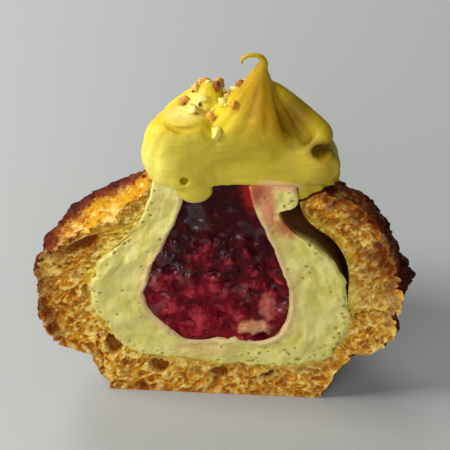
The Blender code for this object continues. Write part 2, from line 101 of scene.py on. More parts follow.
# The cream in the hollow, up to the topping's foot. At the upper right it shrank from the shell
CREAM_RIGHT = [
    (0, 8.3), (8, 8.0), (14, 8.4), (18.4, 10), (21.4, 12.8), (22.9, 17.4), (23.1, 22.5), (22.9, 27),
    (21.0, 32.4), (18.8, 35.4), (16.6, 37.5), (13.4, 39.4), (11.6, 41.4), (10.4, 43.9), (10.9, 44.9),
    (12.9, 45.4), (13.7, 47), (13.2, 50.4),
]
CREAM_LEFT = HOLLOW_LEFT[:-2] + [(13.8, 45.4), (13.1, 48.4), (12.8, 50.4)]
# Behind the cut its right side fills the hollow again, all of it from an angle in radians on
CREAM_RIGHT_BEHIND = HOLLOW_RIGHT[:-1] + [(13.3, 50.4)]
AIR_ENDS_AT = 1.15
# The raspberry filling, up to the topping's foot
JAM_RIGHT = [
    (0, 13.9), (3.4, 14.1), (6.4, 13.1), (9.8, 14.9), (12.0, 18.2), (12.9, 23.2), (12.4, 27.8), (10.8, 32.4),
    (9.7, 36), (8.2, 40), (6.4, 44), (5.2, 48), (4.8, 50.4),
]
JAM_LEFT = [
    (0, 13.9), (4.2, 12.9), (8.2, 13.4), (11, 16.2), (13.9, 19.4), (15, 23), (14.8, 26.6), (13.4, 32),
    (11.2, 36.6), (9.8, 39.6), (8.8, 42.6), (7.8, 46), (7.0, 50.4),
]
# Lumps of fruit that stand out of the filling's cut face: across, height, radius
FRUIT_LUMPS = [
    (-9.5, 21.5, 3.0), (-3.8, 18.0, 3.4), (2.6, 19.8, 2.8), (8.0, 17.6, 2.6), (9.2, 25.0, 2.6),
    (-8.6, 29.0, 2.6), (-1.6, 26.4, 3.0), (4.4, 29.4, 2.8), (-4.2, 34.6, 2.4), (3.4, 37.6, 2.0),
]
# Large bubbles of the crumb at the cut: across, height, half width, half height
BIG_BUBBLES = [(-20.9, 10.9, 1.7, 2.4), (-12.2, 5.9, 1.9, 1.7), (-1.0, 4.8, 1.7, 1.3), (8.2, 4.4, 1.2, 1.0)]
TEAR = (-26.4, 34.4, 3.9, 1.2)
TEAR_SLOPE = 0.55
# Half of a dollop's outline, as shares of its radius and of its height
PULLED = [
    (0, 0), (0.84, 0), (1.0, 0.10), (1.0, 0.24), (0.92, 0.38), (0.76, 0.49), (0.60, 0.58), (0.42, 0.68),
    (0.29, 0.77), (0.18, 0.86), (0.09, 0.94), (0.05, 0.975), (0, 1),
]
BLUNT = [
    (0, 0), (0.86, 0), (1.0, 0.14), (1.0, 0.34), (0.94, 0.52), (0.80, 0.70), (0.58, 0.84),
    (0.34, 0.94), (0.15, 0.985), (0, 1),
]
KISS = [
    (0, 0), (0.80, 0), (0.97, 0.12), (1.0, 0.28), (0.94, 0.46), (0.77, 0.63), (0.54, 0.78),
    (0.31, 0.89), (0.14, 0.96), (0, 1),
]
ROUND = [
    (0, 0), (0.55, 0.01), (0.84, 0.14), (0.97, 0.32), (1.0, 0.50), (0.93, 0.70), (0.75, 0.86), (0.42, 0.97),
    (0, 1),
]
# Piped dollops: across, behind the cut, radius, foot, top, ridges, depth of their grooves as a share of the
# radius, twist, lean across, lean back, outline
DOLLOPS = {
    "left": (-7.2, 3.0, 8.2, 48.0, 63.0, 14, 0.08, 0.3, 0.2, 1.0, ROUND),
    "back_left": (-5.8, 10.8, 9.4, 44.4, 66.2, 13, 0.17, 0.5, 3.0, -0.6, KISS),
    "peak": (3.8, 5.8, 10.6, 47.0, 75.2, 10, 0.10, 0.9, 3.2, 0.0, PULLED),
    "right": (12.4, 6.8, 8.8, 46.2, 62.0, 16, 0.12, -0.5, -1.6, 1.0, BLUNT),
    "back": (4.6, 15.0, 9.2, 43.2, 61.4, 18, 0.15, 0.6, -0.6, -2.6, KISS),
}
# The folds that the nozzle laid last, and the tip it drew out: across, behind, height and radius on the way
SWIRL = [
    (6.6, 6.6, 69.0, 0.7), (9.0, 7.4, 67.2, 1.2), (12.2, 7.4, 63.8, 1.7), (15.0, 6.4, 61.4, 2.0),
    (17.4, 4.6, 60.0, 2.1), (17.9, 2.8, 59.2, 1.8), (16.6, 1.7, 58.2, 1.5), (14.4, 1.4, 57.4, 0.7),
]
CURL = [
    (6.9, 5.8, 73.4, 0.9), (6.7, 5.8, 74.8, 0.6), (5.7, 5.7, 75.6, 0.42), (4.2, 5.6, 75.6, 0.38),
    (3.1, 5.5, 74.8, 0.34), (2.9, 5.4, 73.9, 0.2),
]
# Rounds of cream, each by its middle and half size: under the dollops, at the right, and two for the drip
MOUND = ((3.0, 4.5, 53.2), (15.4, 13.0, 6.0))
RIGHT_LOBE = ((16.6, 1, 54.6), (4.8, 4.6, 3.9))
DRIP = (((-5.4, 0, 49.2), (3.5, 2.2, 3.0)), ((-6.4, 0.6, 51.6), (4.5, 2.2, 3.0)))
# Holes, each by its middle and half size: a bubble, and the gap under the swirl's loop
TOPPING_BUBBLE = ((-7.1, -1, 52.2), (0.9, 1.8, 0.9))
LOOP_HOLE = ((18.0, 0.2, 58.1), (1.9, 3.4, 1.2))
# The crease beside the peak and the fold across the left dollop: places and radii along them
CREASE = [
    (9.2, 4.4, 68.4, 0.7), (10.8, 3.8, 65.2, 1.5), (12.6, 2.9, 62.0, 1.9), (14.0, 1.7, 59.6, 1.1),
    (14.4, 0.9, 58.6, 0.5),
]
LEFT_FOLD = [
    (-13.2, 4.4, 62.8, 0.2), (-11.2, 2.2, 62.4, 0.5), (-8.4, 0.9, 61.7, 0.6), (-5.6, 0.9, 62.1, 0.6),
    (-3.8, 1.2, 63.2, 0.5), (-2.6, 2.0, 65.0, 0.2),
]
# Voxel sizes for melting the dollops together, and for rounding the holes and folds
MELT_VOXEL = 0.3
FINE_VOXEL = 0.27
# Where the topping's cut side swells or is sunk: across, height, half width, half height, how far
SWELLS = [
    (-9.6, 54.0, 5.0, 5.5, 2.4), (17.4, 54.0, 3.8, 3.6, 1.6), (4.5, 55.5, 6.5, 3.2, -0.9),
    (11.5, 58.0, 3.0, 3.0, -1.2), (-6.0, 50.0, 4.0, 3.0, 1.6),
]
KNIFE_SOFTNESS = 1.5
# Where a finish has another colour: middle, half size, sRGB colour and strength
# The topping's painted light: painted shade on its right side, the middle of its cut side, the peak and its
# right flank, the valley beside the peak, the gap under the swirl's loop and the fold across the left dollop,
# and painted highlights on the left dollop and the lower left lobe
PAINTED_SHADE_AND_HIGHLIGHTS = (
    ((17.4, 4, 60.0), (7.5, 12, 8.0), (160, 130, 22), 0.6),
    ((15.0, 1, 53.4), (7.0, 6, 3.6), (160, 140, 34), 0.6),
    ((4.0, 2, 57.5), (7.0, 4, 5.0), (172, 150, 36), 0.6),
    ((4.4, 4, 70.0), (3.4, 8, 8.0), (172, 134, 0), 0.95),
    ((8.0, 3, 66.0), (2.6, 5, 6.0), (188, 124, 0), 0.6),
    ((12.0, 5, 62.6), (2.8, 6, 3.6), (134, 90, 4), 0.8),
    ((18.0, 2, 58.2), (2.4, 3, 1.5), (84, 48, 6), 0.95),
    ((-7.2, 5.5, 63.0), (3.2, 4, 2.6), (240, 230, 140), 0.5),
    ((-13.0, 1, 54.0), (3.2, 6, 5.0), (230, 224, 120), 0.5),
    ((-7.0, 2, 61.8), (5.6, 3, 0.8), (196, 160, 20), 0.45),
)
TOPPING_LIPS = (
    ((-5.4, -1, 46.4), (3.6, 2, 1.3), (226, 190, 150), 0.7),
    ((10.6, 0, 50.6), (4.2, 2, 0.9), (222, 176, 130), 0.7),
)
CREAM_SMEARS = (
    ((6.4, 0, 49.4), (2.3, 3, 3.4), (176, 48, 44), 0.85),
    ((8.4, 0, 45.2), (1.3, 3, 4.6), (212, 128, 96), 0.9),
    ((11.8, 0, 41.2), (2.5, 3, 2.6), (178, 72, 40), 0.85),
    ((11.6, 0, 50.6), (3.4, 3, 1.0), (214, 148, 116), 0.8),
    ((-4.0, 0, 11.6), (5.5, 3, 1.6), (206, 150, 120), 0.4),
)
JAM_REDS = (((5.4, 0, 48.6), (2.2, 3, 4.6), (168, 30, 32), 0.7),)
JAM_SMEARS = (
    ((5.6, 0, 16.9), (3.2, 3, 1.7), (204, 146, 100), 0.9),
    ((8.2, 0, 22.0), (1.5, 3, 3.2), (196, 104, 88), 0.65),
)
# Where the crumb is browned at its outer edge or all through, and where it is pale: middle, size and
# strength. The browned rows near the topping's right lobe, at (27, 43), (15, 48) and (22, 48), are partly
# real browning and partly painted shadow of the topping
BROWNED_AND_SHADOWED = ((27, 43, 10, 11, 2.4), (31, 24, 3, 12, 0.5), (15, 48, 7, 5, 1.5), (-36, 17, 6, 9, 1.3))
BROWNED_THROUGH_AND_SHADOWED = ((22, 48, 9, 5, 1.7), (29, 38, 5, 8, 1.4), (-31, 33, 4, 3, 0.9))
PALE_CRUMB = ((-4.4, 8, 1.9, 2.6, 0.9), (11.7, 8.3, 7, 2.6, 0.8), (24.7, 24.4, 4.5, 2.2, 0.8))
PALE_EDGE = ((31, 20, 6, 9, 0.7), (-35, 30, 4, 4, 0.8))
# Where cream has soaked into the crumb
SOAKED = ((-18, 39, 6, 5, 1), (-7.5, 7.5, 3, 3, 0.8))
# The crumb's large and small cells: size along three axes, thickness of their walls
CELLS = ((1.5, 2.5, 9), 0.17)
SMALL_CELLS = ((0.8, 1.1, 9), 0.2)
# Round holes: spacing, share of places that hold one, least and greatest radius, and seed
CRUMB_BUBBLES = (3.8, 0.4, 0.7, 1.3, 70)
CRUMB_PORES = (2.0, 0.5, 0.35, 0.75, 80)
CREAM_PORES = (1.6, 0.1, 0.15, 0.35, 33)
CREAM_EDGE_PORES = (1.3, 0.45, 0.15, 0.45, 37)
# Places on the cut: where the cream left the shell, where its pores gather, and a dip in the raspberry
AIR_SLIT = (16, 40, 9, 7)
MANY_PORES = (9, 10.5, 5, 2.5)
JAM_DIP = (7.2, 14.2, 1.4, 1.0)
# The share of a cut face over which its relief fades out towards its edges
CRUMB_BORDER = 0.06
CREAM_BORDER = 0.05
JAM_BORDER = 0.05
# How far the cream's lip stands out beside the raspberry
LIP_OUT = 0.12
# Nut crumbs and finer dust lie on a spiral round a middle, but not on the tip, low down or where it is steep
CRUMBS = 18
DUST = 22
DUST_SIZE = 0.4
CRUMB_MIDDLE = (-0.6, 8.4)
CRUMB_SPACING = 1.77
GOLDEN_ANGLE = 2.39996
CRUMB_SIZE = (0.7, 1.1)
CRUMB_STRETCH = (0.7, 1.25)
CRUMB_HEIGHTS = (54, 69)
CRUMB_STEEPEST = 0.5

# The photograph's view: degrees to the right of square on and degrees down, then distance, width in view
# and target, all in millimetres, and the camera's sensor
VIEW_AZIMUTH = 4
VIEW_ELEVATION = 38
VIEW_DISTANCE = 750
VIEW_WIDTH = 83.2
VIEW_TARGET = (0.3, 0.0, 40.9)
SENSOR = 36
# Each light's name, place and size in metres, and watts
LIGHTS = (
    ("key", (-0.56, -0.06, 0.42), 0.30, 5.6),
    ("back", (-0.26, 0.46, 0.42), 0.30, 1.9),
    ("fill", (-0.10, -0.70, 0.36), 0.60, 3.4),
)
# The height that the lights face, the sky's colour and strength, and the floor's size in metres and colour
LIT_HEIGHT = 30
SKY_COLOUR = (0.95, 0.97, 1.0, 1)
SKY_STRENGTH = 0.12
FLOOR_SIZE = 3
FLOOR_COLOUR = (168, 170, 167)


def smoothstep(x):
    """0 below 0, 1 above 1 and an S between."""
    x = np.clip(x, 0, 1)
    return x * x * (3 - 2 * x)


def bell(x):
    """1 at 0, falling off on both sides as e to the power of -x squared."""
    return np.exp(-(x**2))


def smooth_path(points, samples):
    """A smooth curve through the points, of any number of columns, sampled evenly along its length."""
    p = np.array(points, float)
    p = np.vstack([2 * p[0] - p[1], p, 2 * p[-1] - p[-2]])
    t = np.linspace(0, 1, 12, endpoint=False)[:, None]
    runs = []
    for a, b, c, d in zip(p[:-3], p[1:-2], p[2:-1], p[3:]):
        runs.append(
            0.5 * (2 * b + (c - a) * t + (2 * a - 5 * b + 4 * c - d) * t**2 + (3 * b - a - 3 * c + d) * t**3)
        )
    curve = np.vstack(runs + [p[-2:-1]])
    along = np.concatenate([[0], np.cumsum(np.linalg.norm(np.diff(curve, axis=0), axis=1))])
    even = np.linspace(0, along[-1], samples)
    return np.stack([np.interp(even, along, column) for column in curve.T], axis=1)


def smooth_outline(pairs, samples):
    """A smooth outline through pairs of distance from an axis and height."""
    return np.maximum(smooth_path(pairs, samples), 0)


def lattice_number(cell, seed):
    """A repeatable number from 0 to 1 for each whole-number lattice point, mixed with large primes."""
    c = cell.astype(np.int64)
    n = c[..., 0] * 374761393 + c[..., 1] * 668265263 + c[..., 2] * 1440662683 + seed * 974634777
    n &= 0xFFFFFFFF
    n = ((n ^ (n >> 13)) * 1274126177) & 0xFFFFFFFF
    n ^= n >> 16
    return n / 0xFFFFFFFF


def value_noise(p, seed):
    """Smooth noise from -1 to 1: lattice numbers blended by smoothstep along each axis."""
    cell = np.floor(p)
    f = p - cell
    f = f * f * (3 - 2 * f)
    total = np.zeros(p.shape[:-1])
    for corner in np.ndindex(2, 2, 2):
        weight = np.prod(np.where(corner, f, 1 - f), axis=-1)
        total += weight * lattice_number(cell + corner, seed)
    return total * 2 - 1


def rough_noise(p, seed):
    """Value noise with two finer and fainter copies of itself added."""
    return sum(value_noise(p * 2.1**k, seed + k) * 0.5**k for k in range(3))


def warp(p, seed):
    """Three value noises, one for each axis, that bend a pattern."""
    return np.stack([value_noise(p, seed + k) for k in range(3)], axis=-1)


def cell_distances(p, seed):
    """Distances from each point to its nearest and second nearest jittered lattice point."""
    cell = np.floor(p)
    near = np.full(p.shape[:-1], 9.0)
    second = np.full(p.shape[:-1], 9.0)
    for step in np.ndindex(3, 3, 3):
        c = cell + np.array(step) - 1
        jitter = np.stack([lattice_number(c, seed + k) for k in (1, 2, 3)], axis=-1)
        d = np.linalg.norm(c + 0.1 + 0.8 * jitter - p, axis=-1)
        second = np.minimum(second, np.maximum(near, d))
        near = np.minimum(near, d)
    return near, second


def pits(p, spacing, share, low, high, seed):
    """Depth of round holes in a plane. Each cell of a jittered lattice holds a random ball, or none."""
    p = p / spacing
    cell = np.floor(p)
    depth = np.zeros(p.shape[:-1])
    for step in np.ndindex(3, 3):
        c = cell + np.array(step) - 1
        c3 = np.stack([c[..., 0], c[..., 1], np.zeros(c.shape[:-1])], axis=-1)
        jitter = np.stack([lattice_number(c3, seed + k) for k in (1, 2)], axis=-1)
        radius = (low + (high - low) * lattice_number(c3, seed + 3)) / spacing
        radius = np.where(lattice_number(c3, seed + 4) < share, radius, 0)
        d = np.linalg.norm(c + 0.1 + 0.8 * jitter - p, axis=-1)
        depth = np.maximum(depth, np.sqrt(np.maximum(radius**2 - d**2, 0)))
    return depth * spacing


def crust_relief(p):
    """How far the crust stands out: swellings, knobbly tiles, the cracks between them and a corner."""
    near, second = cell_distances(p / TILE_SIZE, 11)
    tile = 0.55 - 1.1 * near**2 - 0.9 * bell((second - near) / 0.1)
    swell = 0.9 * value_noise(p / SWELL_SIZE, 3)
    rough = 0.35 * value_noise(p / ROUGH_SIZE, 5)
    above_foot = np.clip((p[..., 2] - 3) / 7, 0, 1)
    from_neck = np.clip((np.hypot(p[..., 0], p[..., 1]) - RIM_RADIUS) / 5, 0, 1)
    spread = above_foot * np.maximum(from_neck, p[..., 2] < CRUST_FADES_ABOVE)
    corner = CORNER_OUT * bell(np.linalg.norm(p - CORNER, axis=-1) / CORNER_WIDTH)
    return (tile * 1.1 + swell + rough) * spread + corner


def fine_crust(p):
    """The crust's small relief: torn sugar nubs, the splits round them, and ragged ridges between."""
    near, second = cell_distances((p + 0.9 * warp(p / 2.2, 40)) / NUB_SIZE, 31)
    nub = 0.5 - 1.3 * near**2 - 0.6 * bell((second - near) / 0.09)
    ragged = (1 - np.abs(value_noise(p / 1.9, 47))) ** 2 - 0.4
    above_foot = np.clip((p[..., 2] - 1) / 6, 0.15, 1)
    return (0.45 * nub + 0.5 * ragged + 0.3 * rough_noise(p / 1.1, 51)) * above_foot


def swept(right, left, turns, steps, right_until=None, back=None):
    """Half a turned skin, as a grid: rows go round from right to left, columns from the foot's middle up.

    The outline changes smoothly from right to left. right_until, an outline and an angle, is a second right
    side that fades into the first by that angle. back takes over from both sides by BACK_BEGINS_AT.
    """
    azimuth = np.linspace(0, np.pi, turns + 1)[:, None, None]
    sides = [smooth_outline(side, steps + 1)[None] for side in (right, left)]
    if right_until:
        outline, ends_at = right_until
        keep = smoothstep(azimuth / ends_at)
        sides[0] = keep * sides[0] + (1 - keep) * smooth_outline(outline, steps + 1)
    rightness = (1 + np.cos(azimuth)) / 2
    outline = rightness * sides[0] + (1 - rightness) * sides[1]
    if back:
        behind = smoothstep(np.minimum(azimuth, np.pi - azimuth) / BACK_BEGINS_AT)
        outline = behind * smooth_outline(back, steps + 1) + (1 - behind) * outline
    azimuth = azimuth[..., 0]
    across, height = outline[..., 0], outline[..., 1] + 0 * azimuth
    return np.stack([across * np.cos(azimuth), across * np.sin(azimuth), height], axis=-1)


def at_cut(grid):
    """The grid's edge in the cut plane, from the right end over the foot to the left end."""
    edge = np.vstack([grid[0, ::-1], grid[-1, 1:]])
    edge[:, 1] = 0
    return edge


def set_cut(grid, edge):
    """Puts an edge as at_cut gives it back into the grid."""
    steps = grid.shape[1]
    grid[0] = edge[:steps][::-1]
    grid[-1] = edge[steps - 1 :]


def quads_of(grids):
    """The four corners of each face of the grids, as numbers of their points, and its material number."""
    faces, numbers, first = [], [], 0
    for grid, flip, number in grids:
        rows, columns = grid.shape[:2]
        index = np.arange(rows * columns).reshape(rows, columns) + first
        quads = np.stack([index[:-1, :-1], index[1:, :-1], index[1:, 1:], index[:-1, 1:]], axis=-1)
        quads = quads.reshape(-1, 4)
        faces.append(quads[:, ::-1] if flip else quads)
        numbers.append(np.full(len(quads), number))
        first += rows * columns
    return np.vstack(faces), np.concatenate(numbers)


def mesh_of(name, grids, values=None):
    """One mesh of several grids of points, each (points, flip, material number), joined where they meet.

    Edges between grids with different materials are sharp. For each kind of point value, values holds a
    number or an array for some of the grids, by their place in the list. It is 0 on the others.
    """
    points = (np.vstack([grid.reshape(-1, 3) for grid, _, _ in grids]) + (0, CUT_Y, 0)) * MM
    faces, numbers = quads_of(grids)
    mesh = bpy.data.meshes.new(name)
    mesh.vertices.add(len(points))
    mesh.vertices.foreach_set("co", points.ravel())
    mesh.loops.add(faces.size)
    mesh.loops.foreach_set("vertex_index", faces.ravel())
    mesh.polygons.add(len(faces))
    mesh.polygons.foreach_set("loop_start", np.arange(0, faces.size, 4))
    mesh.polygons.foreach_set("material_index", numbers)
    mesh.update(calc_edges=True)
    shapes = [grid.shape[:2] for grid, _, _ in grids]
    for label, by_grid in (values or {}).items():
        layer = mesh.attributes.new(label, "FLOAT", "POINT")
        parts = [np.broadcast_to(by_grid.get(i, 0), shape).ravel() for i, shape in enumerate(shapes)]
        layer.data.foreach_set("value", np.concatenate(parts).astype(np.float32))
    weld(mesh)
    sharpen_borders(mesh)
    obj = bpy.data.objects.new(name, mesh)
    bpy.context.scene.collection.objects.link(obj)
    return obj


def weld(mesh):
    """Joins points at the same place, and smooths all faces."""
    bm = bmesh.new()
    bm.from_mesh(mesh)
    bmesh.ops.remove_doubles(bm, verts=bm.verts, dist=WELD_WITHIN)
    bmesh.ops.dissolve_degenerate(bm, edges=bm.edges, dist=SHORTEST_EDGE)
    bm.to_mesh(mesh)
    bm.free()
    mesh.shade_smooth()


def sharpen_borders(mesh):
    """Marks the edges between faces of different materials as sharp."""
    edge = np.empty(len(mesh.loops), np.int32)
    mesh.loops.foreach_get("edge_index", edge)
    counts = np.empty(len(mesh.polygons), np.int32)
    mesh.polygons.foreach_get("loop_total", counts)
    numbers = np.empty(len(mesh.polygons), np.int32)
    mesh.polygons.foreach_get("material_index", numbers)
    numbers = np.repeat(numbers, counts)
    low = np.full(len(mesh.edges), numbers.max())
    high = np.full(len(mesh.edges), numbers.min())
    np.minimum.at(low, edge, numbers)
    np.maximum.at(high, edge, numbers)
    layer = mesh.attributes.new("sharp_edge", "BOOLEAN", "EDGE")
    layer.data.foreach_set("value", low != high)


def linear(red, green, blue):
    """A colour given as it looks on a screen, 0 to 255, turned into the linear one that shaders use."""
    c = np.array((red, green, blue)) / 255
    return (*np.where(c <= 0.04045, c / 12.92, ((c + 0.055) / 1.055) ** 2.4), 1.0)


class Wire:
    """A shader socket. Arithmetic between wires, or with numbers, adds Math nodes."""

    def __init__(self, tree, socket):
        self.tree = tree
        self.socket = socket

    def math(self, operation, *others):
        """The result of a Math node on this wire and the others."""
        node = self.tree.nodes.new("ShaderNodeMath")
        node.operation = operation
        for slot, value in zip(node.inputs, (self, *others)):
            feed(self.tree, slot, value)
        return Wire(self.tree, node.outputs[0])

    def ramp(self, low, high):
        """0 at low, 1 at high and an S between. low may be above high."""
        node = self.tree.nodes.new("ShaderNodeMapRange")
        node.interpolation_type = "SMOOTHSTEP"
        for slot, value in zip(node.inputs, (self, low, high)):
            feed(self.tree, slot, value)
        return Wire(self.tree, node.outputs[0])

    def __add__(self, other):
        return self.math("ADD", other)

    def __sub__(self, other):
        return self.math("SUBTRACT", other)

    def __rsub__(self, other):
        return self.math("MULTIPLY", -1).math("ADD", other)

    def __mul__(self, other):
        return self.math("MULTIPLY", other)

    __radd__ = __add__
    __rmul__ = __mul__


def feed(tree, slot, value):
    """Links a wire to an input, or sets the input to a constant. None leaves it as it is."""
    if isinstance(value, Wire):
        tree.links.new(value.socket, slot)
    elif value is not None:
        slot.default_value = value


class Finish:
    """A material with one Principled shader. Constants go by input name, and finish links the wires."""

    def __init__(self, name, **constants):
        self.material = bpy.data.materials.new(name)
        self.material.use_nodes = True
        self.tree = self.material.node_tree
        self.shader = self.tree.nodes["Principled BSDF"]
        for label, value in constants.items():
            socket = label.replace("_", " ").title().replace("Ior", "IOR")
            self.shader.inputs[socket].default_value = value
        self.place = self.node("ShaderNodeTexCoord", output="Object")

    def node(self, kind, settings=None, output=0, **inputs):
        """Any node: settings are its properties, inputs go by name with _ for a space."""
        node = self.tree.nodes.new(kind)
        for label, value in (settings or {}).items():
            setattr(node, label, value)
        for label, value in inputs.items():
            feed(self.tree, node.inputs[label.replace("_", " ")], value)
        return Wire(self.tree, node.outputs[output])

    def value(self, name):
        """A point value of the mesh."""
        return self.node("ShaderNodeAttribute", {"attribute_name": name}, "Fac")

    def noise(self, size, detail=3.0, roughness=0.55, shift=0.0):
        """Noise with blotches of about that size in millimetres, moved by shift to differ from another."""
        place = self.place
        if shift:
            place = self.node("ShaderNodeMapping", Vector=self.place, Location=(shift, shift, shift))
        return self.node(
            "ShaderNodeTexNoise", Vector=place, Scale=1 / (size * MM), Detail=detail, Roughness=roughness
        )

    def cells(self, size):
        """Distance to the nearest of scattered points, about that far apart in millimetres."""
        return self.node("ShaderNodeTexVoronoi", None, "Distance", Vector=self.place, Scale=1 / (size * MM))

    def mix(self, factor, a, b):
        """From colour a to colour b."""
        node = self.tree.nodes.new("ShaderNodeMix")
        node.data_type = "RGBA"
        for slot, value in zip((node.inputs[0], node.inputs[6], node.inputs[7]), (factor, a, b)):
            feed(self.tree, slot, value)
        return Wire(self.tree, node.outputs[2])

    def blob(self, centre, half, edge, rag):
        """1 inside an ellipsoid, 0 outside, with a soft edge that a wire makes ragged."""
        middle = [(c + o) * MM for c, o in zip(centre, (0, CUT_Y, 0))]
        away = self.node("ShaderNodeVectorMath", {"operation": "SUBTRACT"}, Vector=self.place)
        away.socket.node.inputs[1].default_value = middle
        scaled = self.node("ShaderNodeVectorMath", {"operation": "DIVIDE"}, Vector=away)
        scaled.socket.node.inputs[1].default_value = [h * MM for h in half]
        size = self.node("ShaderNodeVectorMath", {"operation": "LENGTH"}, "Value", Vector=scaled)
        return (size + rag).ramp(1 + edge, 1 - edge)

    def tinted(self, colour, places, edge, rag):
        """The colour with ragged blobs on it: the middle, half size, sRGB colour and strength of each."""
        for centre, half, tint, strength in places:
            colour = self.mix(self.blob(centre, half, edge, rag) * strength, colour, linear(*tint))
        return colour

    def finish(self, colour, roughness, bumps):
        """Links colour, roughness unless it is None, and bumps, each (height wire, depth in millimetres)."""
        feed(self.tree, self.shader.inputs["Base Color"], colour)
        feed(self.tree, self.shader.inputs["Roughness"], roughness)
        normal = None
        for height, depth in bumps:
            settings = {"Height": height, "Distance": depth * MM, "Strength": 1.0, "Normal": normal}
            normal = self.node("ShaderNodeBump", **settings)
        feed(self.tree, self.shader.inputs["Normal"], normal)
        return self.material


def crust_finish():
    """Baked sugar crust: toasted red-brown, golden between, pale in some of the splits, with painted light on
    its upper left and painted shade in its deepest splits.
    """
    f = Finish("crust", coat_weight=0.03, coat_roughness=0.3, specular_ior_level=0.06)
    raised = f.value("raised")
    patch = f.noise(7.0, 4, 0.6)
    small = f.noise(2.2, 4, 0.65, 0.31)
    speck = f.noise(0.8, 3, 0.6, 0.13)
    # Painted light: the crust's upper left, near the cut, is painted brighter and golden, less toasted, with
    # more pale painted highlights in its splits
    lit = f.blob((-20, 3, 42), (11, 6, 9), 0.4, (small - 0.5) * 1.8)
    toast_and_shade = (patch * 1.1 + raised * 0.22 + small * 0.9 + speck * 0.3 - lit * 0.4).ramp(0.9, 1.25)
    char = (patch * 0.8 + small * 1.1 + raised * 0.16 - lit * 0.3).ramp(1.0, 1.25)
    pale = (f.noise(3.4, 3, 0.6, 0.57) + speck * 0.6 - raised * 0.25 + lit * 0.1).ramp(0.86, 1.06)
    golden = f.mix(small.ramp(0.38, 0.62), linear(134, 54, 4), linear(182, 98, 12))
    colour = f.mix(lit * 0.85, golden, linear(214, 158, 26))
    colour = f.mix(toast_and_shade, colour, linear(92, 28, 4))
    colour = f.mix(char * 0.9, colour, linear(54, 12, 4))
    colour = f.mix(pale * (lit * 0.5 + 0.35), colour, linear(240, 206, 120))
    # Painted shade in the deepest splits
    colour = f.mix(raised.ramp(-0.9, -1.9) * 0.5, colour, linear(96, 42, 14))
    return f.finish(colour, 0.6 - toast_and_shade * 0.18, [(f.noise(0.5, 3, 0.7), 0.4), (f.cells(0.9), 0.3)])


def crumb_finish():
    """The cut crumb: pale walls round amber cells, pits and bubbles painted brown as shade, painted
    highlights on its granules, yellow with cream, browned outside, painted shadow under the topping.
    """
    f = Finish(
        "crumb",
        specular_ior_level=0.12,
        subsurface_weight=0.2,
        subsurface_radius=(1.0, 0.5, 0.15),
        subsurface_scale=1.2 * MM,
    )
    wall, deep, soaked = f.value("wall"), f.value("deep"), f.value("soaked")
    blotch = f.noise(3.0, 3, 0.6)
    fine = f.noise(0.6, 3, 0.65, 0.2)
    amber = f.mix(blotch.ramp(0.38, 0.62), linear(158, 76, 4), linear(210, 134, 20))
    colour = f.mix((wall * 0.7 + fine * 0.9 - 0.3).ramp(0.2, 0.95), amber, linear(228, 170, 46))
    colour = f.mix(soaked * 0.65, colour, linear(214, 186, 62))
    colour = f.mix(f.value("pale") * (fine * 0.6 + 0.6), colour, linear(250, 222, 124))
    brown = f.noise(2.8, 3, 0.65, 0.83).ramp(0.5, 0.66)
    colour = f.mix(brown * 0.45, colour, linear(138, 64, 8))
    # Painted shade in the pits and bubbles, browner the deeper they are
    colour = f.mix(deep.ramp(0.3, 1.1) * 0.9, colour, linear(134, 68, 10))
    # Toast, with painted shade under the topping and in the tear
    colour = f.mix(f.value("toast_and_shade"), colour, linear(120, 48, 10))
    return f.finish(colour, 0.36 + deep * 0.3, [(f.noise(0.45, 3, 0.65), 0.3), (f.cells(0.8), 0.25)])


def hollow_finish():
    """The shell's inside, seen in the gap above the cream."""
    f = Finish("hollow", roughness=0.6)
    colour = f.mix(f.noise(2.0), linear(84, 40, 12), linear(140, 78, 26))
    return f.finish(colour, None, [(f.noise(1.0), 0.4)])


def cream_finish():
    """Pistachio cream: pale yellow-green, a pinkish lip beside the raspberry, red smears, painted highlights
    on its streaks' ridges, painted shade in their grooves and pores, and dark brown behind the cut.
    """
    f = Finish(
        "pistachio_cream",
        specular_ior_level=0.4,
        subsurface_weight=0.25,
        subsurface_radius=(1.0, 0.8, 0.25),
        subsurface_scale=2 * MM,
    )
    across, pore, streak = f.value("across"), f.value("pore"), f.value("streak")
    soft = f.noise(4.5, 3, 0.5)
    fine = f.noise(0.8, 3, 0.6, 0.4)
    colour = f.mix(soft.ramp(0.35, 0.65), linear(206, 193, 94), linear(222, 210, 122))
    # Painted highlights on the ridges of the streaks, and painted shade in their grooves
    colour = f.mix(streak.ramp(0.1, 0.9) * 0.4, colour, linear(224, 214, 136))
    colour = f.mix(streak.ramp(-0.1, -0.8) * 0.35, colour, linear(184, 166, 66))
    # Painted shade in the pores
    colour = f.mix(pore.ramp(0.1, 0.6) * 0.6, colour, linear(130, 104, 40))
    lip = (across + (fine - 0.5) * 0.3).ramp(0.2, 0.04)
    colour = f.mix(lip * 0.8, colour, linear(214, 176, 132))
    rag = (fine - 0.5) * 0.9 + (f.noise(2.0, 2, 0.5, 0.7) - 0.5) * 0.9
    colour = f.tinted(colour, CREAM_SMEARS, 0.6, rag)
    # Behind the cut, where the cream's outside shows in the gap under the topping, it is painted dark brown
    colour = f.mix(f.value("dark_behind_cut"), colour, f.mix(fine, linear(78, 38, 10), linear(140, 84, 28)))
    return f.finish(colour, 0.5 - fine * 0.15, [(f.noise(0.6, 3, 0.6), 0.16)])


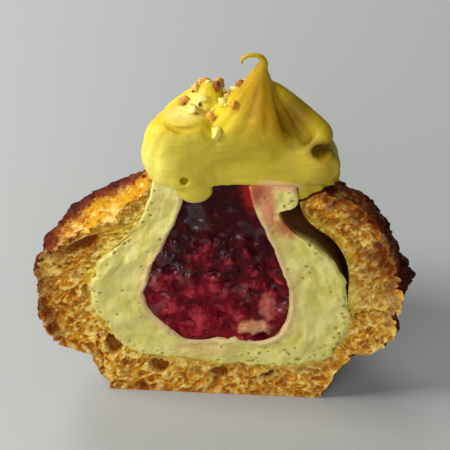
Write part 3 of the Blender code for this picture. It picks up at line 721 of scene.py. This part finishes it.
def jam_finish():
    """Raspberry filling: nearly black red above, with painted shade under the topping, clearer red below,
    wet, with a smear of cream.
    """
    f = Finish(
        "raspberry_filling",
        coat_roughness=0.05,
        specular_ior_level=0.04,
        subsurface_weight=0.1,
        subsurface_radius=(1.0, 0.1, 0.1),
        subsurface_scale=1.5 * MM,
    )
    height = f.node("ShaderNodeSeparateXYZ", None, "Z", Vector=f.place)
    blotch = f.noise(5.0, 3, 0.6)
    fine = f.noise(0.7, 3, 0.6, 0.3)
    # Painted shade: darker towards the top, under the topping's overhang; the blotches and lumps are the
    # filling's own tones
    clear = (height.ramp(0.046, 0.016) * 0.45 + blotch * 1.1 + f.value("proud") * 0.35).ramp(0.6, 1.45)
    glint = f.noise(4.2, 2, 0.5, 0.9).ramp(0.52, 0.66)
    feed(f.tree, f.shader.inputs["Coat Weight"], glint * 0.9 + 0.12)
    colour = f.mix(clear, linear(48, 1, 8), linear(140, 10, 30))
    colour = f.mix(f.value("proud").ramp(0.3, 1.1) * 0.45, colour, linear(196, 74, 82))
    colour = f.mix(fine.ramp(0.6, 0.8) * 0.3, colour, linear(190, 84, 86))
    rag = (f.noise(1.4, 3, 0.6, 0.6) - 0.5) * 1.4
    colour = f.tinted(colour, JAM_REDS, 0.5, rag)
    colour = f.tinted(colour, JAM_SMEARS, 0.3, rag)
    middle, half, *_ = JAM_SMEARS[0]
    smear = f.blob(middle, half, 0.3, rag)
    return f.finish(colour, 0.3 + smear * 0.25, [(f.noise(1.6, 2, 0.5), 0.25)])


def topping_finish():
    """Piped pistachio cream: clear yellow-green, a little glossy, paler where the knife smeared it, with
    painted shade and painted highlights.
    """
    f = Finish(
        "piped_topping",
        coat_weight=0.02,
        coat_roughness=0.25,
        specular_ior_level=0.18,
        subsurface_weight=0.25,
        subsurface_radius=(1.0, 0.75, 0.12),
        subsurface_scale=2 * MM,
    )
    soft = f.noise(4.0, 3, 0.5)
    fine = f.noise(0.9, 3, 0.6, 0.4)
    cut = f.value("cut")
    colour = f.mix(soft.ramp(0.3, 0.7), linear(200, 170, 18), linear(214, 192, 40))
    colour = f.mix(fine.ramp(0.6, 0.85) * 0.25, colour, linear(184, 152, 26))
    colour = f.mix(cut * 0.5, colour, linear(196, 180, 74))
    rag = (fine - 0.5) * 0.9
    # Painted shade and painted highlights where the light falls on the topping
    colour = f.tinted(colour, PAINTED_SHADE_AND_HIGHLIGHTS, 0.7, rag * 0.5)
    colour = f.tinted(colour, TOPPING_LIPS, 0.4, rag)
    return f.finish(colour, 0.42 + cut * 0.1, [(fine, 0.1)])


def nut_finish():
    """Candied nut crumbs: amber to brown, each its own shade."""
    f = Finish(
        "nut_crumbs",
        roughness=0.3,
        coat_weight=0.4,
        coat_roughness=0.12,
        subsurface_weight=0.15,
        subsurface_scale=1 * MM,
    )
    shade = f.value("shade")
    colour = f.mix(shade.ramp(0.1, 0.3), linear(132, 58, 8), linear(210, 142, 20))
    colour = f.mix(shade.ramp(0.35, 0.8), colour, linear(232, 212, 96))
    return f.finish(colour, None, [(f.noise(0.5), 0.2)])


def nearest_of(count, turns):
    """For each of count places along an edge, the nearest of turns + 1 points on the edge it meets."""
    return np.linspace(0, turns, count).round().astype(int)


def face_between(first, last, steps):
    """A flat grid between two edges, with columns from first to last, and each point's share of the way."""
    share = np.linspace(0, 1, steps + 1)[None, :, None]
    grid = first[:, None] * (1 - share) + last[:, None] * share
    return grid, np.broadcast_to(share[..., 0], grid.shape[:2])


def border_fade(share, width):
    """0 at both edges of a face and 1 further in than width, a share of the face."""
    return smoothstep(share / width) * smoothstep((1 - share) / width)


def egg_pit(plane, egg, slope=0.0):
    """Depth of an egg-shaped hole, given by its middle and half sizes, turned by slope."""
    centre_x, centre_z, width, height = egg
    across, up = plane[..., 0] - centre_x, plane[..., 1] - centre_z
    u = (across * np.cos(slope) + up * np.sin(slope)) / width
    v = (up * np.cos(slope) - across * np.sin(slope)) / height
    return np.sqrt(np.maximum(1 - u * u - v * v, 0))


def mound(x, z, centre_x, centre_z, width, height):
    """1 at the place, falling off as a bell over its width and height."""
    return np.exp(-(((x - centre_x) / width) ** 2) - ((z - centre_z) / height) ** 2)


def mounds(x, z, rows):
    """The sum of mounds, each given by a middle, a width, a height and a strength."""
    return sum(strength * mound(x, z, *shape) for *shape, strength in rows)


def band_of(face, share):
    """Places on a band of a cut face: how far across it, how far along its middle, and 0, for patterns."""
    middle = face[:, share.shape[1] // 2]
    along = np.concatenate([[0], np.cumsum(np.linalg.norm(np.diff(middle, axis=0), axis=1))])[:, None]
    thick = np.linalg.norm(face[:, -1] - face[:, 0], axis=-1)[:, None]
    return np.stack([share * thick, along + 0 * share, 0 * share], axis=-1)


def walls_of(places, cells, seed):
    """1 on the walls between jittered cells, given by their size and the thickness of their walls."""
    size, thickness = cells
    near, second = cell_distances(places / size, seed)
    return bell((second - near) / thickness)


def crumb_tones(face, share, tear, rim, clots):
    """How far the cut crumb is toasted, with painted shade in its tear and under the topping, and how far it
    is pale, with painted highlights on its granules, at its outer edge and in patches.
    """
    x, z = face[..., 0], face[..., 2]
    outer = smoothstep((share - 0.54) / 0.34)
    patchy = smoothstep(0.55 + 0.9 * rough_noise(face / 2.2, 75))
    brown = 0.5 * smoothstep((1.6 - z) / 1.6) + mounds(x, z, BROWNED_AND_SHADOWED)
    toast_and_shade = outer * np.clip(brown, 0, 1) * (0.4 + 0.6 * patchy)
    toast_and_shade = np.maximum(toast_and_shade, 0.75 * patchy * np.clip(mounds(x, z, BROWNED_THROUGH_AND_SHADOWED), 0, 1))
    # Painted shade in the tear
    toast_and_shade = np.maximum(toast_and_shade, np.clip(1.4 * tear, 0, 0.6))
    pale = mounds(x, z, PALE_CRUMB) + outer * mounds(x, z, PALE_EDGE) + 0.6 * rim
    pale = np.clip(pale, 0, 1) * (0.3 + 0.7 * patchy)
    # The raised granules are painted pale, as highlights
    return toast_and_shade, np.maximum(pale, np.clip(2.6 * clots - 0.3, 0, 0.8))


def crumb_face(face, share):
    """The cut crumb's relief in millimetres, inward positive, and the point values that colour it.

    Cells of 1 to 2 mm, longer along the band than across, with walls between; sparse bubbles; granules.
    """
    band = band_of(face, share)
    wobble = warp(band / 1.8, 60)
    walls = walls_of(band + wobble, CELLS, 64)
    small_walls = walls_of(band + 0.5 * wobble, SMALL_CELLS, 67)
    open_here = smoothstep(0.5 + 0.9 * value_noise(band / 4.0, 69))
    plane = face[..., [0, 2]] + 0.35 * wobble[..., :2]
    large, small = pits(plane, *CRUMB_BUBBLES), pits(plane, *CRUMB_PORES)
    clots = np.maximum(rough_noise(band / 0.8, 72) - 0.05, 0)
    depth = 0.5 * (1 - walls) * open_here + 0.22 * (1 - small_walls) * (1 - open_here)
    depth = depth + 0.8 * large + 0.5 * small - 1.1 * clots
    rim = np.zeros(share.shape)
    for egg in BIG_BUBBLES:
        inside = egg_pit(plane, egg)
        depth = np.where(inside > 0, 0.4 + 2.2 * inside, depth)
        grown = egg_pit(plane, np.add(egg, (0, 0, 0.6, 0.6)))
        rim = np.maximum(rim, (grown > 0) * (inside == 0))
    tear = egg_pit(plane, TEAR, TEAR_SLOPE)
    depth = np.maximum(depth, 2.2 * tear)
    toast_and_shade, pale = crumb_tones(face, share, tear, rim, clots)
    soaked = smoothstep((0.3 - share) / 0.25) + mounds(face[..., 0], face[..., 2], SOAKED)
    values = {
        "wall": np.clip(walls * open_here + 0.8 * small_walls * (1 - open_here), 0, 1),
        "deep": np.clip((depth - 0.35) / 1.1, 0, 1),
        "toast_and_shade": toast_and_shade,
        "pale": pale,
        "soaked": np.clip(soaked, 0, 1),
    }
    return depth + 0.5 * value_noise(face / 5, 7) + 0.35, values


def baked(dark_behind_cut):
    """The bun's skin with its crust raised away from the bun's middle, and how far each point is raised."""
    outward = dark_behind_cut - (0, 0, BUN_MIDDLE_Z)
    outward /= np.linalg.norm(outward, axis=-1, keepdims=True)
    relief = crust_relief(dark_behind_cut)
    at_knife = 0.45 + 0.55 * smoothstep(dark_behind_cut[..., 1] / 1.5)
    fine = fine_crust(dark_behind_cut) * at_knife
    at_rim = smoothstep(np.linspace(1, 0, dark_behind_cut.shape[1]) / 0.04)
    crust = dark_behind_cut + outward * ((relief + fine * at_rim) * (dark_behind_cut[..., 2] > 0))[..., None]
    crust[[0, -1], :, 1] = 0
    crust[..., 2] = np.maximum(crust[..., 2], 0)
    return crust, relief + fine


def make_shell():
    """The shell: crust outside, crumb at the cut and the hollow's wall, as grids that share their edges."""
    turns, steps, face_steps, hollow_turns = 150, 380, 42, 12
    outer, raised = baked(swept(BUN_RIGHT, BUN_LEFT, turns, steps, back=BUN_BACK))
    inner = swept(HOLLOW_RIGHT, HOLLOW_LEFT, hollow_turns, steps)
    rim = outer[nearest_of(hollow_turns + 1, turns), -1]
    towards_rim = (np.linspace(0, 1, steps + 1) - (1 - RIM_SHARE)) / RIM_SHARE
    inner = inner + (rim - inner[:, -1])[:, None] * smoothstep(towards_rim)[None, :, None]
    face, share = face_between(at_cut(inner), at_cut(outer), face_steps)
    depth, face_values = crumb_face(face, share)
    face[..., 1] = border_fade(share, CRUMB_BORDER) * depth
    neck = np.stack([outer[:, -1], inner[nearest_of(turns + 1, hollow_turns), -1]], axis=1)
    values = {label: {1: value} for label, value in face_values.items()}
    values["raised"] = {0: raised}
    grids = [(outer, False, 0), (face, False, 1), (inner, True, 2), (neck, False, 0)]
    shell = mesh_of("choux_shell_looks", grids, values)
    for material in (crust_finish(), crumb_finish(), hollow_finish()):
        shell.data.materials.append(material)
    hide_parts("choux_shell")
    return shell


def sideways(edge, amount):
    """The cut edge moved away from the middle of the bun by an amount, in the cut plane."""
    away = edge - (0, 0, BUN_MIDDLE_Z)
    return edge + away / np.linalg.norm(away, axis=-1, keepdims=True) * amount[:, None]


def cream_face(face, share):
    """The cream's relief at the cut in millimetres, inward positive, and its streaks and pores.

    Soft swells, streaks and steps along the band, a ridge beside the raspberry, and pores near the crumb.
    """
    band = band_of(face, share)
    bent = band + value_noise(band / 4, 19)[..., None] * (1.2, 0, 0)
    streak = rough_noise(bent / (1.6, 5.0, 1), 21)
    step = np.abs(value_noise(bent / (2.2, 9.0, 1), 24))
    swell = rough_noise(face / 4.5, 25)
    ridge = bell((band[..., 0] - 0.7) / 0.6)
    plane = face[..., [0, 2]]
    many = smoothstep((share - 0.72) / 0.2) + mound(plane[..., 0], plane[..., 1], *MANY_PORES)
    pore = pits(plane, *CREAM_PORES) + pits(plane, *CREAM_EDGE_PORES) * np.clip(many, 0, 1)
    depth = -0.35 - 0.35 * swell - 0.13 * streak - 0.15 * step - 0.25 * ridge + 1.2 * pore
    return depth, streak, pore


def make_cream():
    """The cream: a half cup between the hollow's wall and the raspberry, smeared and pored at the cut."""
    turns, steps, face_steps = 60, 330, 44
    outer = swept(CREAM_RIGHT_BEHIND, CREAM_LEFT, turns, steps, (CREAM_RIGHT, AIR_ENDS_AT))
    inner = swept(JAM_RIGHT, JAM_LEFT, turns, steps)
    rough = at_cut(outer)
    in_slit = mound(rough[:, 0], rough[:, 2], *AIR_SLIT)
    ragged = 0.25 + 0.45 * value_noise(rough / 2.6, 15) + 0.35 * value_noise(rough / 1.1, 16)
    rough = sideways(rough, ragged * (1 - np.clip(1.4 * in_slit, 0, 1)))
    lip = at_cut(inner)
    lip = sideways(lip, -0.35 - 0.35 * value_noise(lip / 3.0, 17) - 0.15 * value_noise(lip / 1.2, 18))
    face, share = face_between(lip, rough, face_steps)
    depth, streak, pore = cream_face(face, share)
    at_lip = np.maximum(1 - share / CREAM_BORDER, 0)
    face[..., 1] = border_fade(share, CREAM_BORDER) * depth - LIP_OUT * at_lip
    set_cut(outer, face[:, -1])
    set_cut(inner, face[:, 0])
    top, _ = face_between(outer[:, -1], inner[:, -1], face_steps)
    top[[0, -1]] = face[[0, -1], ::-1]
    grids = [(outer, False, 0), (face, False, 1), (inner, True, 0), (top, False, 0)]
    values = {
        "across": {0: 1, 1: share, 2: 1, 3: 1},
        "streak": {1: streak},
        "pore": {1: np.clip(pore * 3, 0, 1)},
        "dark_behind_cut": {0: smoothstep(outer[..., 1] / 1.2 - 0.2) * 0.95},
    }
    cream = mesh_of("pistachio_cream_looks", grids, values)
    material = cream_finish()
    # The material goes in twice, because the cut's edge is sharp where the material number changes
    cream.data.materials.append(material)
    cream.data.materials.append(material)
    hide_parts("pistachio_cream")
    return cream


def fruit_face(face, share):
    """How far the raspberry stands out at the cut, in millimetres, and how proud its lumps stand."""
    x, z = face[..., 0], face[..., 2]
    bend = warp(face / 3, 55)
    near, _ = cell_distances((face + bend) / 2.7, 61)
    small, _ = cell_distances((face + 0.5 * bend) / 1.3, 65)
    proud = 0.9 * (0.45 - near**2) + 0.4 * (0.4 - small**2) + 0.35 * rough_noise(face / 1.5, 68)
    for centre_x, centre_z, radius in FRUIT_LUMPS:
        proud = proud + 0.55 * radius / 3 * mound(x, z, centre_x, centre_z, 0.6 * radius, 0.55 * radius)
    high = smoothstep((z - 33) / 9)
    fade = border_fade(share, JAM_BORDER) * smoothstep((z - 13) / 1.2)
    proud = proud * (1 - 0.55 * high)
    return fade * (0.1 + proud - high - 1.5 * mound(x, z, *JAM_DIP)), proud * fade


def make_jam():
    """The raspberry filling: half a pear, its cut face lumpy with fruit and sunk near the top."""
    turns, steps, face_steps = 40, 200, 130
    outer = swept(JAM_RIGHT, JAM_LEFT, turns, steps)
    face, share = face_between(outer[0], outer[-1], face_steps)
    out, proud = fruit_face(face, share)
    face[..., 1] = -out
    top = np.stack([outer[nearest_of(face_steps + 1, turns), -1], face[-1]], axis=1)
    grids = [(outer, False, 0), (face, False, 1), (top, False, 0)]
    jam = mesh_of("raspberry_filling_looks", grids, {"proud": {1: proud}})
    material = jam_finish()
    # Twice, as on the cream
    jam.data.materials.append(material)
    jam.data.materials.append(material)
    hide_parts("raspberry_filling")
    return jam


def knife(grid):
    """The closed grid pressed back softly to the cut side, which swells here and there.

    y becomes front + s ln(1 + e^((y - front) / s)), where front is the cut side's place and s its softness.
    """
    x, y, z = np.moveaxis(grid, -1, 0)
    front = -0.25 * value_noise(grid / (7, 1, 3.0), 44)
    for centre_x, centre_z, width, height, far in SWELLS:
        front = front - far * mound(x, z, centre_x, centre_z, width, height)
    y = front + KNIFE_SOFTNESS * np.logaddexp(0, (y - front) / KNIFE_SOFTNESS)
    return np.stack([x, y, z], axis=-1)


def dollop(sizes, turns=240, rings=90):
    """A closed grid of a piped dollop: drawn up to a peak, with round ridges and sharp grooves that twist."""
    across, behind, radius, foot, top, ridges, groove, twist, lean_x, lean_y, outline = sizes
    profile = smooth_outline(outline, rings + 1)
    azimuth = np.linspace(0, 2 * np.pi, turns + 1)[:, None]
    width, up = profile[None, :, 0], profile[None, :, 1]
    ridge = np.abs(np.cos(ridges * azimuth / 2)) ** 0.8
    r = radius * width * (1 - groove + groove * ridge)
    angle = azimuth + twist * up
    x = across + lean_x * up**2 + r * np.cos(angle)
    y = behind + lean_y * up**2 + r * np.sin(angle)
    z = foot + (top - foot) * up + 0 * azimuth
    return np.stack([x, y, z], axis=-1)


def ball(centre, half, turns=64, rings=32):
    """A closed grid of an ellipsoid."""
    azimuth = np.linspace(0, 2 * np.pi, turns + 1)[:, None]
    polar = np.linspace(0, np.pi, rings + 1)[None]
    x, y = np.sin(polar) * np.cos(azimuth), np.sin(polar) * np.sin(azimuth)
    unit = np.stack([x, y, -np.cos(polar) + 0 * azimuth], axis=-1)
    return np.array(centre) + unit * np.array(half)


def rope(points, steps=80, turns=24):
    """A closed grid of a round rope along a smooth path. Each point is a place and a radius."""
    path = smooth_path(points, steps)
    centre, radius = path[:, :3], path[:, 3].copy()
    radius[[0, -1]] = 0
    tangent = np.gradient(centre, axis=0)
    side = np.cross(tangent, (0, 1, 0))
    side /= np.linalg.norm(side, axis=1, keepdims=True)
    lift = np.cross(tangent, side)
    lift /= np.linalg.norm(lift, axis=1, keepdims=True)
    angle = np.linspace(0, 2 * np.pi, turns + 1)[:, None, None]
    return centre + radius[:, None] * (np.cos(angle) * side + np.sin(angle) * lift)


def settle(obj):
    """Replaces the object's mesh by its evaluated one, and drops its modifiers."""
    bpy.context.view_layer.update()
    mesh = bpy.data.meshes.new_from_object(obj.evaluated_get(bpy.context.evaluated_depsgraph_get()))
    obj.modifiers.clear()
    obj.data = mesh


def modify(obj, kind, **settings):
    """Adds a modifier of that kind with its settings."""
    modifier = obj.modifiers.new(kind.lower(), kind)
    for label, value in settings.items():
        setattr(modifier, label, value)


def combine(obj, operation, grid):
    """Joins a closed grid to the object, or with DIFFERENCE takes it away."""
    other = mesh_of(operation.lower(), [(grid, False, 0)])
    modify(obj, "BOOLEAN", operation=operation, object=other, solver="MANIFOLD")
    settle(obj)
    bpy.data.objects.remove(other)


def neck_post():
    """A closed grid of an upright cylinder that fills the neck, up to the topping's foot."""
    low, high = NECK_POST_FOOT_Z, TOPPING_FOOT_Z
    angle = np.linspace(0, 2 * np.pi, 65)[:, None]
    outline = np.array([(0, low), (NECK_RADIUS, low), (NECK_RADIUS, high), (0, high)], float)
    r, z = outline[None, :, 0], outline[None, :, 1] + 0 * angle
    return np.stack([r * np.cos(angle), r * np.sin(angle), z], axis=-1)


def melted_topping():
    """The dollops, swirl and right lobe on a mound, pressed by the knife and melted into one mesh."""
    grids = [dollop(sizes) for sizes in DOLLOPS.values()]
    grids += [ball(*MOUND), rope(SWIRL), ball(*RIGHT_LOBE)]
    topping = mesh_of("piped_topping_looks", [(knife(grid), False, 0) for grid in grids])
    modify(topping, "REMESH", mode="VOXEL", voxel_size=MELT_VOXEL * MM)
    settle(topping)
    return topping


def point_rows(mesh, label):
    """A property of the mesh's points, such as co or normal, one row for each point."""
    rows = np.empty(len(mesh.vertices) * 3)
    mesh.vertices.foreach_get(label, rows)
    return rows.reshape(-1, 3)


def smear(mesh):
    """Raises smears along the knife's way on the topping's cut side, and faint waves on the rest of it.

    The point value cut is 1 where the surface faces the cut and lies near it.
    """
    co, normals = point_rows(mesh, "co"), point_rows(mesh, "normal")
    p = co / MM - (0, CUT_Y, 0)
    cut = smoothstep(-normals[:, 1] * 1.8 - 0.6) * smoothstep(1.2 - p[:, 1])
    moved = cut * 0.14 * rough_noise(p / (6.5, 1, 1.6), 71) + (1 - cut) * 0.08 * value_noise(p / 1.5, 75)
    co = co + normals * (moved * MM)[:, None]
    mesh.vertices.foreach_set("co", co.ravel())
    layer = mesh.attributes.new("cut", "FLOAT", "POINT")
    layer.data.foreach_set("value", cut.astype(np.float32))


def make_topping():
    """The piped topping, with its drip, bubble, hole and folds, and the knife's smears on its cut side."""
    topping = melted_topping()
    combine(topping, "DIFFERENCE", neck_post())
    for centre, half in DRIP:
        combine(topping, "UNION", ball(centre, half))
    for centre, half in (TOPPING_BUBBLE, LOOP_HOLE):
        combine(topping, "DIFFERENCE", ball(centre, half))
    for path in (CREASE, LEFT_FOLD):
        combine(topping, "DIFFERENCE", rope(path))
    modify(topping, "REMESH", mode="VOXEL", voxel_size=FINE_VOXEL * MM)
    modify(topping, "SMOOTH", factor=0.5, iterations=6)
    settle(topping)
    smear(topping.data)
    topping.data.shade_smooth()
    topping.data.materials.clear()
    topping.data.materials.append(topping_finish())
    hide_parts("piped_topping")
    return topping


def make_curl():
    """The topping's tip, drawn out thin and curled to the left. Its point value cut is 0 all over."""
    curl = mesh_of("topping_curl", [(rope(CURL), False, 0)], {"cut": {}})
    curl.data.materials.append(bpy.data.materials["piped_topping"])
    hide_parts("piped_topping")
    return curl


def lump(centre, half, seed, turns=14, rings=9):
    """A closed grid of a small angular crumb: a ball whose radius follows noise."""
    unit = ball((0, 0, 0), (1, 1, 1), turns, rings)
    unit = unit / np.abs(unit).max(axis=-1, keepdims=True) ** 0.3
    turned = unit @ turn_matrix(seed)
    unit = turned * (1 + 0.5 * value_noise(turned * 1.6 + seed * 7.1, seed))[..., None]
    return np.array(centre) + unit * np.array(half)


def turn_matrix(seed):
    """A random turn in space."""
    axes, _ = np.linalg.qr(np.random.default_rng(seed).normal(size=(3, 3)))
    return axes * np.sign(np.linalg.det(axes))


def draw(number, low, high, seed):
    """A repeatable number between low and high for each whole number."""
    return low + (high - low) * float(lattice_number(np.array((number, 0, 0)), seed))


def make_nuts(topping):
    """Crumbs of candied nut on a spiral, dropped on the topping, with dust of nut between them."""
    bpy.context.view_layer.update()
    grids, shades = [], {}
    for i in range(CRUMBS + DUST):
        dust = i >= CRUMBS
        spread = CRUMB_SPACING * (np.sqrt(i - CRUMBS + 0.8) * 0.9 if dust else np.sqrt(i + 0.25))
        x = CRUMB_MIDDLE[0] + spread * np.cos(GOLDEN_ANGLE * i)
        y = CRUMB_MIDDLE[1] + spread * np.sin(GOLDEN_ANGLE * i)
        hit, at, normal, _ = topping.ray_cast(Vector((x, y + CUT_Y, 100)) * MM, Vector((0, 0, -1)))
        lowest, highest = CRUMB_HEIGHTS
        if not hit or not lowest < at.z / MM < highest or normal.z < CRUMB_STEEPEST:
            continue
        size = draw(i, *CRUMB_SIZE, 1) * (DUST_SIZE if dust else 1)
        stretch = np.array([draw(i, *CRUMB_STRETCH, seed) for seed in (2, 3, 4)])
        at = np.array(at) / MM - (0, CUT_Y, 0) + np.array(normal) * size * 0.25
        grids.append(lump(at, size * stretch, i))
        shades[len(grids) - 1] = draw(i, 0, 1, 9)
    nuts = mesh_of("nut_crumbs", [(grid, False, 0) for grid in grids], {"shade": shades})
    nuts.data.materials.append(nut_finish())
    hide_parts("piped_topping")
    return nuts


def make_floor():
    """The pale floor."""
    bpy.ops.mesh.primitive_plane_add(size=FLOOR_SIZE)
    floor = bpy.context.object
    floor.name = "floor"
    finish = Finish("floor", base_color=linear(*FLOOR_COLOUR), roughness=0.6)
    floor.data.materials.append(finish.material)


def make_lights():
    """Soft lamps that face the bun, and a faint cool sky."""
    aim = Vector((0, 0, LIT_HEIGHT * MM))
    for name, place, size, power in LIGHTS:
        light = bpy.data.lights.new(name, "AREA")
        light.energy = power
        light.size = size
        lamp = bpy.data.objects.new(name, light)
        lamp.location = place
        lamp.rotation_euler = (Vector(place) - aim).to_track_quat("Z", "Y").to_euler()
        bpy.context.scene.collection.objects.link(lamp)
    world = bpy.data.worlds.new("studio")
    world.use_nodes = True
    sky = world.node_tree.nodes["Background"]
    sky.inputs["Color"].default_value = SKY_COLOUR
    sky.inputs["Strength"].default_value = SKY_STRENGTH
    bpy.context.scene.world = world
    bpy.context.scene.view_settings.view_transform = "Standard"


def make_camera():
    """The camera at the photograph's angle."""
    camera = bpy.data.cameras.new("camera")
    camera.sensor_width = SENSOR
    camera.lens = SENSOR * VIEW_DISTANCE / VIEW_WIDTH
    camera.clip_start = 0.01
    azimuth, elevation = np.radians((VIEW_AZIMUTH, VIEW_ELEVATION))
    level = np.cos(elevation)
    back = Vector((np.sin(azimuth) * level, -np.cos(azimuth) * level, np.sin(elevation)))
    eye = bpy.data.objects.new("camera", camera)
    eye.location = (Vector(VIEW_TARGET) + Vector((0, CUT_Y, 0)) + back * VIEW_DISTANCE) * MM
    eye.rotation_euler = back.to_track_quat("Z", "Y").to_euler()
    bpy.context.scene.collection.objects.link(eye)
    bpy.context.scene.camera = eye


def write_sizes():
    """Updates the view layer."""
    bpy.context.view_layer.update()


topping = make_topping()
for piece in (make_shell(), make_cream(), make_jam(), topping, make_curl(), make_nuts(topping)):
    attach(piece, "root")
make_floor()
make_lights()
make_camera()
write_sizes()
